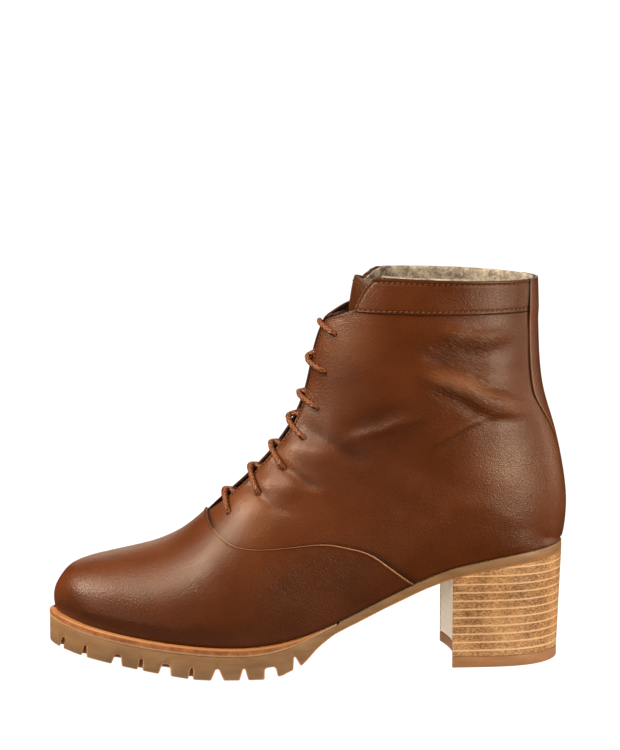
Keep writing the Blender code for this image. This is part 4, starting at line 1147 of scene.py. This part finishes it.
def paint(thing, name, rule):
    """Store a value at every corner of a mesh, from its place on the boot in millimetres."""
    count = len(thing.data.vertices)
    flat = np.empty(count * 3)
    thing.data.vertices.foreach_get("co", flat)
    values = rule(flat.reshape(-1, 3) / MM - SHIFT)
    thing.data.attributes.new(name, "FLOAT", "POINT").data.foreach_set("value", values.astype(np.float32))


paint(welt, "side", lambda place: ease((feather(place[:, 0]) - GAP - place[:, 2] - 0.35) / 0.8))
paint(welt, "foot_line", lambda place: 0.8 * ease(
    (place[:, 2] - feather(place[:, 0]) + GAP + welt_thick(place[:, 0]) - 0.6) / -0.3))
dress(welt, veg, "welt_leather", "welt")

# Outsole
# Moulded gum rubber: a lugged forefoot with toe spring, a thin waist and a flat seat over the heel.
# The notches between the lugs have rounded roots, and light shines amber through their edges.
GUM_DEEP, GUM_PALE = srgb(134, 100, 66), srgb(160, 122, 86)
AMBER_DEEP, AMBER_PALE = srgb(196, 124, 66), srgb(222, 154, 92)
WAIST_THICK, JOINT = 5.3, 0.05
TREAD_LINE = table(
    "x z",
    (-2, 11.2), (12, 8.4), (24, 6.7), (36, 5.0), (47, 3.4), (58, 1.7), (68, 0.4), (76, 0.0),
    (104, 0.0), (111, 1.7), (121, 6.2), (128.5, 14.0), (136, 19.3), (145, 23.4))
NOTCHES = table(
    "x floor root reach",
    (4.6, 1.8, 1.4, 4), (15.5, 2.6, 1.2, 5), (31.2, 5.4, 3.2, 15), (42.4, 2.6, 1.5, 5),
    (54.2, 6.2, 4.2, 16), (66.6, 2.4, 1.3, 6), (79.4, 6.6, 2.4, 99), (92.2, 4.4, 1.4, 99),
    (105.4, 6.8, 5.6, 99), (118.0, 4.0, 1.0, 99))
LUG_DEEP, NOTCH_BELOW, NOTCH_SPAN, TOE_BRIDGE = 5.6, 4.0, 70.0, 5.0
LUG_ROUND, PLAIN_RIM = 0.6, 1.3


def underside(x):
    """Bottom of the outsole, lugs included."""
    line_x, line_z = TREAD_LINE["x"], TREAD_LINE["z"]
    flat_from = int(np.argmin(line_z))
    straight = np.interp(x, line_x, line_z)
    spring = np.maximum(spline(x, line_x[:flat_from + 1], line_z[:flat_from + 1]), 0)
    waist = feather(x) - WAIST_THICK
    return np.where(x < line_x[flat_from], spring, np.where(x < line_x[-1], straight, waist))


def edge_pair(at, margin):
    """Outer and inner edge points of the sole at stations, let out by a margin."""
    outer = np.stack([at, -half_width(at, "outer")], -1)
    inner = np.stack([at, half_width(at, "inner")], -1)
    loop = np.concatenate([outer, inner[-2:0:-1]])
    moved = loop + loop_normals(loop) * np.reshape(margin(loop[:, 0]), (-1, 1))
    count = len(at)
    return moved[:count], np.concatenate([moved[:1], moved[:count - 1:-1], moved[count - 1:count]])


sole_stations = np.unique(np.concatenate([
    TOE + (1 - np.cos(np.linspace(0, math.pi / 2, 14))) * 20, np.arange(24, 236, 2.4),
    HEEL_END - (1 - np.cos(np.linspace(0, math.pi / 2, 12))) * 14, [WELT_END + 0.3, WELT_END + 0.7]]))
sole_stations = sole_stations[np.append(True, np.diff(sole_stations) > 0.12)]
outer_edge, inner_edge = edge_pair(sole_stations, edge_margin)
under_welt = (sole_stations < WELT_END + 0.5)[:, None]
lanes = np.linspace(0, 1, 11)[None, :, None]
ribs = outer_edge[:, None] * (1 - lanes) + inner_edge[:, None] * lanes
top = feather(ribs[..., 0]) - GAP - np.where(under_welt, welt_thick(ribs[..., 0]) + JOINT, 0)
low = underside(ribs[..., 0])
top_sheet = np.concatenate([ribs, top[..., None]], -1)
low_sheet = np.concatenate([ribs, low[..., None]], -1)
wall = [top_sheet[:, -1] * (1 - u) + low_sheet[:, -1] * u for u in (0.33, 0.67)]
back_wall = [low_sheet[:, 0] * (1 - u) + top_sheet[:, 0] * u for u in (0.33, 0.67, 1)]
grid = np.concatenate([top_sheet, np.stack(wall, 1), low_sheet[:, ::-1], np.stack(back_wall, 1)], 1)
outsole = panel("gum_outsole", grid, 0 * grid)
cap_ends(outsole)


def prism(name, corners, start, end):
    """A bar across the sole with the given outline in the side view."""
    bpy.ops.object.select_all(action="DESELECT")
    bpy.ops.mesh.primitive_circle_add(vertices=len(corners), fill_type="NGON")
    bar = bpy.context.object
    bar.name = name
    for vertex, (x, z) in zip(bar.data.vertices, corners):
        vertex.co = (np.array([x, start, z]) + SHIFT) * MM
    with editing(bar):
        bpy.ops.mesh.extrude_region_move(TRANSFORM_OT_translate={"value": (0, (end - start) * MM, 0)})
        bpy.ops.mesh.select_all(action="SELECT")
        bpy.ops.mesh.normals_make_consistent(inside=False)
    return bar


bars = []
for x, floor_wide, root, depth in zip(*NOTCHES.values()):
    slope = float(underside(np.array(x + 2)) - underside(np.array(x - 2))) / 4
    slope = slope / 2 if slope > 0 else slope
    up = np.array([-slope, 1.0]) / math.hypot(slope, 1)
    foot = np.array([x, float(underside(np.array(x)))])
    flat = np.array([up[1], -up[0]])
    low, high = foot - NOTCH_BELOW * up, foot + LUG_DEEP * up
    flare = flat * (floor_wide + (floor_wide - root) * NOTCH_BELOW / LUG_DEEP) / 2
    taper = flat * root / 2
    bend = min(0.5 * root, 1.6)
    arch = []
    for hand, order in ((1, np.linspace(0, math.pi / 2, 5)), (-1, np.linspace(math.pi / 2, 0, 5))):
        for a in order:
            centre = high + hand * (taper - flat * bend) - up * bend
            arch.append(centre + bend * (math.cos(a) * hand * flat + math.sin(a) * up))
    corners = [low - flare, low + flare, *arch]
    stop_outer = max(TOE_BRIDGE, float(half_width(np.array(x), "outer")) + EDGE_FRONT - depth)
    stop_inner = max(TOE_BRIDGE, float(half_width(np.array(x), "inner")) + EDGE_FRONT - depth)
    spans = [(-NOTCH_SPAN, -stop_outer), (stop_inner, NOTCH_SPAN)]
    for start, end in [(-NOTCH_SPAN, NOTCH_SPAN)] if depth > NOTCH_SPAN else spans:
        bars.append(prism("notch", corners, start, end))

gum_cloud, node, given, put_out = effect("gum_cloud", ("Deep", "Pale"), Colour="Color", Speck="Float")
place = node("TexCoord").outputs["Object"]
stretched = node("Mapping", Vector=place, Scale=(1, 1, 4)).outputs["Vector"]
cloud = node("TexNoise", Vector=stretched, Scale=60.0, Detail=5.0, Roughness=0.65).outputs["Fac"]
spread = node("MapRange", Value=cloud, From_Min=0.3, From_Max=0.7).outputs["Result"]
mixed = node("Mix", data_type="RGBA", Factor=spread, A=given["Deep"], B=given["Pale"])
speck = node("TexNoise", Vector=place, Scale=1400.0, Detail=2.0)
put_out(Colour=mixed.outputs["Result"], Speck=speck.outputs["Fac"])


def gum_finish(name, deep, pale, rough):
    """Gum rubber: cloudy, a little streaky, half shiny."""
    material, node, shade = new_material(name)
    cloudy = node("Group", node_tree=gum_cloud, Deep=deep, Pale=pale)
    bump = node("Bump", Strength=0.15, Distance=0.0003, Height=cloudy.outputs["Speck"])
    shade(Base_Color=cloudy.outputs["Colour"], Normal=bump.outputs["Normal"], Roughness=rough)
    return material


gum = gum_finish("gum_rubber", GUM_DEEP, GUM_PALE, 0.5)
# the amber on the rounded lug edges is a painted glow of light shining through the rubber
edge_glow = gum_finish("gum_edge_glow", AMBER_DEEP, AMBER_PALE, 0.4)
for material in (gum, edge_glow):
    outsole.data.materials.append(material)
cut_away(outsole, join_pieces("notches", bars))
with editing(outsole):
    bpy.ops.mesh.dissolve_limited(angle_limit=math.radians(3))
weld(outsole, 0.2)
round_off = round_edges(outsole, LUG_ROUND, 42)
round_off.use_clamp_overlap = False
round_off.material = 1
apply_all(outsole)
for face in outsole.data.polygons:
    x, _, z = np.array(face.center) / MM - SHIFT
    below_top = float(feather(x)) - GAP - z - (float(welt_thick(x)) if x < WELT_END else 0)
    if below_top < PLAIN_RIM:
        face.material_index = 0
bpy.ops.object.shade_smooth_by_angle(angle=math.radians(40))
dress(outsole, gum, "sole_rubber", "outsole")

# Heel
# A block of leather layers, glued, pegged and sanded flush. Each layer is a speckled brown cut edge with
# a paler line where the next one begins; the front is hollowed out and covered with smooth pale leather.
HEEL_FRONT, HEEL_HOLLOW, HEEL_TAPER, LIFT_THICK = 194.5, 4.0, 0.035, 5.4
LAYER_THICK, LAYER_DRIFT, LAYER_START = 0.00412, 0.0006, -2.05
LAYER_LINE = ((0.0, 0.65), (0.08, 1.0), (0.17, 0.6), (0.25, 0.05), (0.9, 0.0))
LAYER_DARK, LAYER_PALE = srgb(112, 70, 36), srgb(220, 170, 120)
# the breast cover's near-white is partly its pale leather and partly a painted highlight
LINE_PALE, COVER_PALE_LIT = srgb(240, 196, 150), srgb(250, 243, 236)
heel_stations = np.append(HEEL_FRONT, stations[stations > HEEL_FRONT + 0.5])
outer_edge, inner_edge = edge_pair(np.append(np.arange(TOE, HEEL_FRONT - 1, 3.0), heel_stations), edge_margin)
outer_edge, inner_edge = outer_edge[-len(heel_stations):], inner_edge[-len(heel_stations):]
breast = np.linspace(0, 1, 26)[1:-1]
front_line = np.stack([
    HEEL_FRONT + HEEL_HOLLOW * (1 - (2 * breast - 1) ** 2),
    inner_edge[0, 1] + (outer_edge[0, 1] - inner_edge[0, 1]) * breast], -1)
heel_loop = np.concatenate([outer_edge, inner_edge[-2::-1], front_line])


def block(name, low, high, levels):
    """A closed block with the heel's outline between two heights."""
    rings = []
    for part in levels:
        grow = 1 - HEEL_TAPER * (1 - part) if high is None else 1 - HEEL_TAPER
        x = HEEL_FRONT + (heel_loop[:, 0] - HEEL_FRONT) * grow
        y = heel_loop[:, 1] * grow
        top = underside(heel_loop[:, 0]) - JOINT if high is None else high
        rings.append(np.stack([x, y, low + (top - low) * part + 0 * x], -1))
    rings = np.array(rings)
    rings = np.concatenate([rings, rings[:, :1]], 1)
    solid = panel(name, rings, 0 * rings)
    cap_ends(solid)
    round_edges(solid, 0.5, 50)
    apply_all(solid)
    weld(solid, 0.004)
    bpy.ops.object.shade_smooth_by_angle(angle=math.radians(40))
    return solid


heel = block("heel_stack", LIFT_THICK + JOINT, None, np.linspace(0, 1, 30))

stack, node, shade = new_material("stacked_leather")
place = node("TexCoord").outputs["Object"]
height = node("SeparateXYZ", Vector=place).outputs["Z"]
wobble = node("TexNoise", Vector=place, Scale=35.0, Detail=2.0).outputs["Fac"]
drift = node("Math", wobble, LAYER_DRIFT, height, operation="MULTIPLY_ADD").outputs["Value"]
layer = node("Math", drift, 1 / LAYER_THICK, LAYER_START, operation="MULTIPLY_ADD").outputs["Value"]
line = node("ValToRGB", Fac=node("Math", layer, operation="FRACT").outputs["Value"])
for position, level in LAYER_LINE:
    line.color_ramp.elements.new(position).color = (level, level, level, 1)
line.color_ramp.elements.remove(line.color_ramp.elements[-1])
flattened = node("Mapping", Vector=place, Scale=(1, 1, 2)).outputs["Vector"]
grit = node("TexNoise", Vector=flattened, Scale=760.0, Detail=4.0, Roughness=0.75).outputs["Fac"]
zone = node("TexNoise", Vector=place, Scale=70.0, Detail=3.0, Roughness=0.6).outputs["Fac"]
blend = node("Mix", data_type="FLOAT", Factor=0.3, A=grit, B=zone).outputs[0]
colour = two_tone(node("ValToRGB", Fac=blend), 0.4, LAYER_DARK, 0.6, LAYER_PALE)
mask = node("Attribute", attribute_name="cover").outputs["Fac"]
for factor, tone in ((line.outputs["Color"], LINE_PALE), (mask, COVER_PALE_LIT)):
    colour = node("Mix", data_type="RGBA", Factor=factor, A=colour, B=tone).outputs["Result"]
bump = node("Bump", Strength=0.4, Distance=0.0004, Height=line.outputs["Color"])
shade(Base_Color=colour, Normal=bump.outputs["Normal"], Roughness=0.5)


def breast_cover(place):
    """One on the hollow front of the heel, nothing on its sides."""
    half = np.where(place[:, 1] < 0, np.interp(place[:, 0], heel_stations, -outer_edge[:, 1]),
                    np.interp(place[:, 0], heel_stations, inner_edge[:, 1]))
    inside_edge = half * (1 - HEEL_TAPER) - np.abs(place[:, 1])
    return ((place[:, 0] < HEEL_FRONT + HEEL_HOLLOW + 0.3) & (inside_edge > 0.7)).astype(float)


paint(heel, "cover", breast_cover)
dress(heel, stack, "heel_stack", "heel")

# Top lift
# The walking layer under the heel, in the same gum rubber but a little redder. It is moulded with the
# outline of the heel and glued to the lowest layer of the stack.
LIFT_DEEP, LIFT_PALE = srgb(146, 100, 62), srgb(170, 120, 78)
top_lift = block("gum_top_lift", 0.0, LIFT_THICK, (0, 0.08, 0.5, 1))
lift_gum = gum_finish("gum_lift", LIFT_DEEP, LIFT_PALE, 0.5)
dress(top_lift, lift_gum, "lift_rubber", "top_lift")

# Stage
# A plain white studio floor that turns up into a wall far behind the boot, and soft lights round it.
# None of it is part of the boot. The floor looks white to the camera and gives light only close by.
FLOOR_SIZE, WALL_TALL = 30.0, 5.0
LAMP_WARM = (1.0, 0.85, 0.635)
CAMERA_PLACE, CAMERA_TARGET = (-0.09724, -1.449296, 0.367), (0.00076, 0.000704, 0.141)
CAMERA_LENS = 144.48
bpy.ops.object.select_all(action="DESELECT")
bpy.ops.mesh.primitive_plane_add(size=FLOOR_SIZE, location=(0, 0, 0))
floor = bpy.context.object
floor.name = "floor"
bpy.ops.object.mode_set(mode="EDIT")
bpy.ops.mesh.select_all(action="DESELECT")
bpy.ops.object.mode_set(mode="OBJECT")
for edge in floor.data.edges:
    edge.select = all(floor.data.vertices[k].co.y > 0.49 * FLOOR_SIZE for k in edge.vertices)
bpy.ops.object.mode_set(mode="EDIT")
bpy.ops.mesh.extrude_region_move(TRANSFORM_OT_translate={"value": (0, 0, WALL_TALL)})
bpy.ops.object.mode_set(mode="OBJECT")
white, node, shade = new_material("studio_floor")
path = node("LightPath").outputs
seen = node("Math", path["Is Camera Ray"], 1.06, operation="MULTIPLY").outputs["Value"]
close_by = node("MapRange", interpolation_type="SMOOTHSTEP", Value=path["Ray Length"],
                From_Min=0.008, From_Max=0.06, To_Min=0.45, To_Max=0.0)
glow = node("Math", seen, close_by.outputs["Result"], operation="MAXIMUM")
shade(Base_Color=(0.02, 0.02, 0.02, 1), Roughness=0.9, Emission_Color=(1, 1, 1, 1),
      Emission_Strength=glow.outputs["Value"])
floor.data.materials.append(white)

world = bpy.data.worlds.new("studio")
bpy.context.scene.world = world
world.use_nodes = True
wire(world.node_tree, world.node_tree.nodes["Background"], {"Color": (1, 1, 1, 1), "Strength": 0.03})


def aim_at(thing, target):
    """Turn a lamp or the camera towards a point."""
    thing.rotation_euler = (Vector(target) - thing.location).to_track_quat("-Z", "Y").to_euler()


def softbox(name, place, target, wide, tall, power):
    """A rectangular soft light aimed at a point."""
    bpy.ops.object.light_add(type="AREA", location=place)
    lamp = bpy.context.object
    lamp.name = name
    lamp.data.shape = "RECTANGLE"
    lamp.data.size = wide
    lamp.data.size_y = tall
    lamp.data.energy = power
    lamp.data.color = LAMP_WARM
    aim_at(lamp, target)


softbox("overhead", (-0.65, -0.15, 1.2), (-0.02, 0, 0.08), 0.8, 0.9, 17)
softbox("left_high", (-1.0, -0.12, 0.82), (-0.02, 0, 0.1), 0.36, 0.36, 12.5)
softbox("side_right", (0.5, -0.38, 0.16), (0.09, 0, 0.1), 0.15, 0.24, 2.0)
softbox("over_heel", (0.75, -0.8, 0.5), (0.08, 0, 0.13), 0.22, 0.26, 4.6)
softbox("behind_right", (0.9, 0.15, 0.15), (0.12, 0, 0.1), 0.3, 0.5, 2.0)
softbox("fill_left", (-1.3, -0.7, 0.27), (0, 0, 0.14), 0.32, 0.36, 2.8)
softbox("back_fill", (0.1, 1.3, 0.35), (0, 0, 0.1), 0.9, 0.6, 2.5)
softbox("arch_card", (0.015, 0, 0.004), (0.07, 0, 0.036), 0.03, 0.04, 0.036)
bpy.context.object.visible_camera = False
bpy.ops.object.light_add(type="SPOT", location=(-0.7, -0.85, 0.05))
snoot = bpy.context.object
snoot.name = "low_front"
snoot.data.energy = 7.5
snoot.data.spot_size = math.radians(8)
snoot.data.spot_blend = 0.6
snoot.data.shadow_soft_size = 0.06
aim_at(snoot, (0.045, -0.02, 0.03))

bpy.ops.object.camera_add(location=CAMERA_PLACE)
camera = bpy.context.object
camera.data.lens = CAMERA_LENS
camera.data.sensor_width = 36
camera.data.sensor_fit = "AUTO"
aim_at(camera, CAMERA_TARGET)
bpy.context.scene.camera = camera
bpy.context.scene.view_settings.view_transform = "Standard"
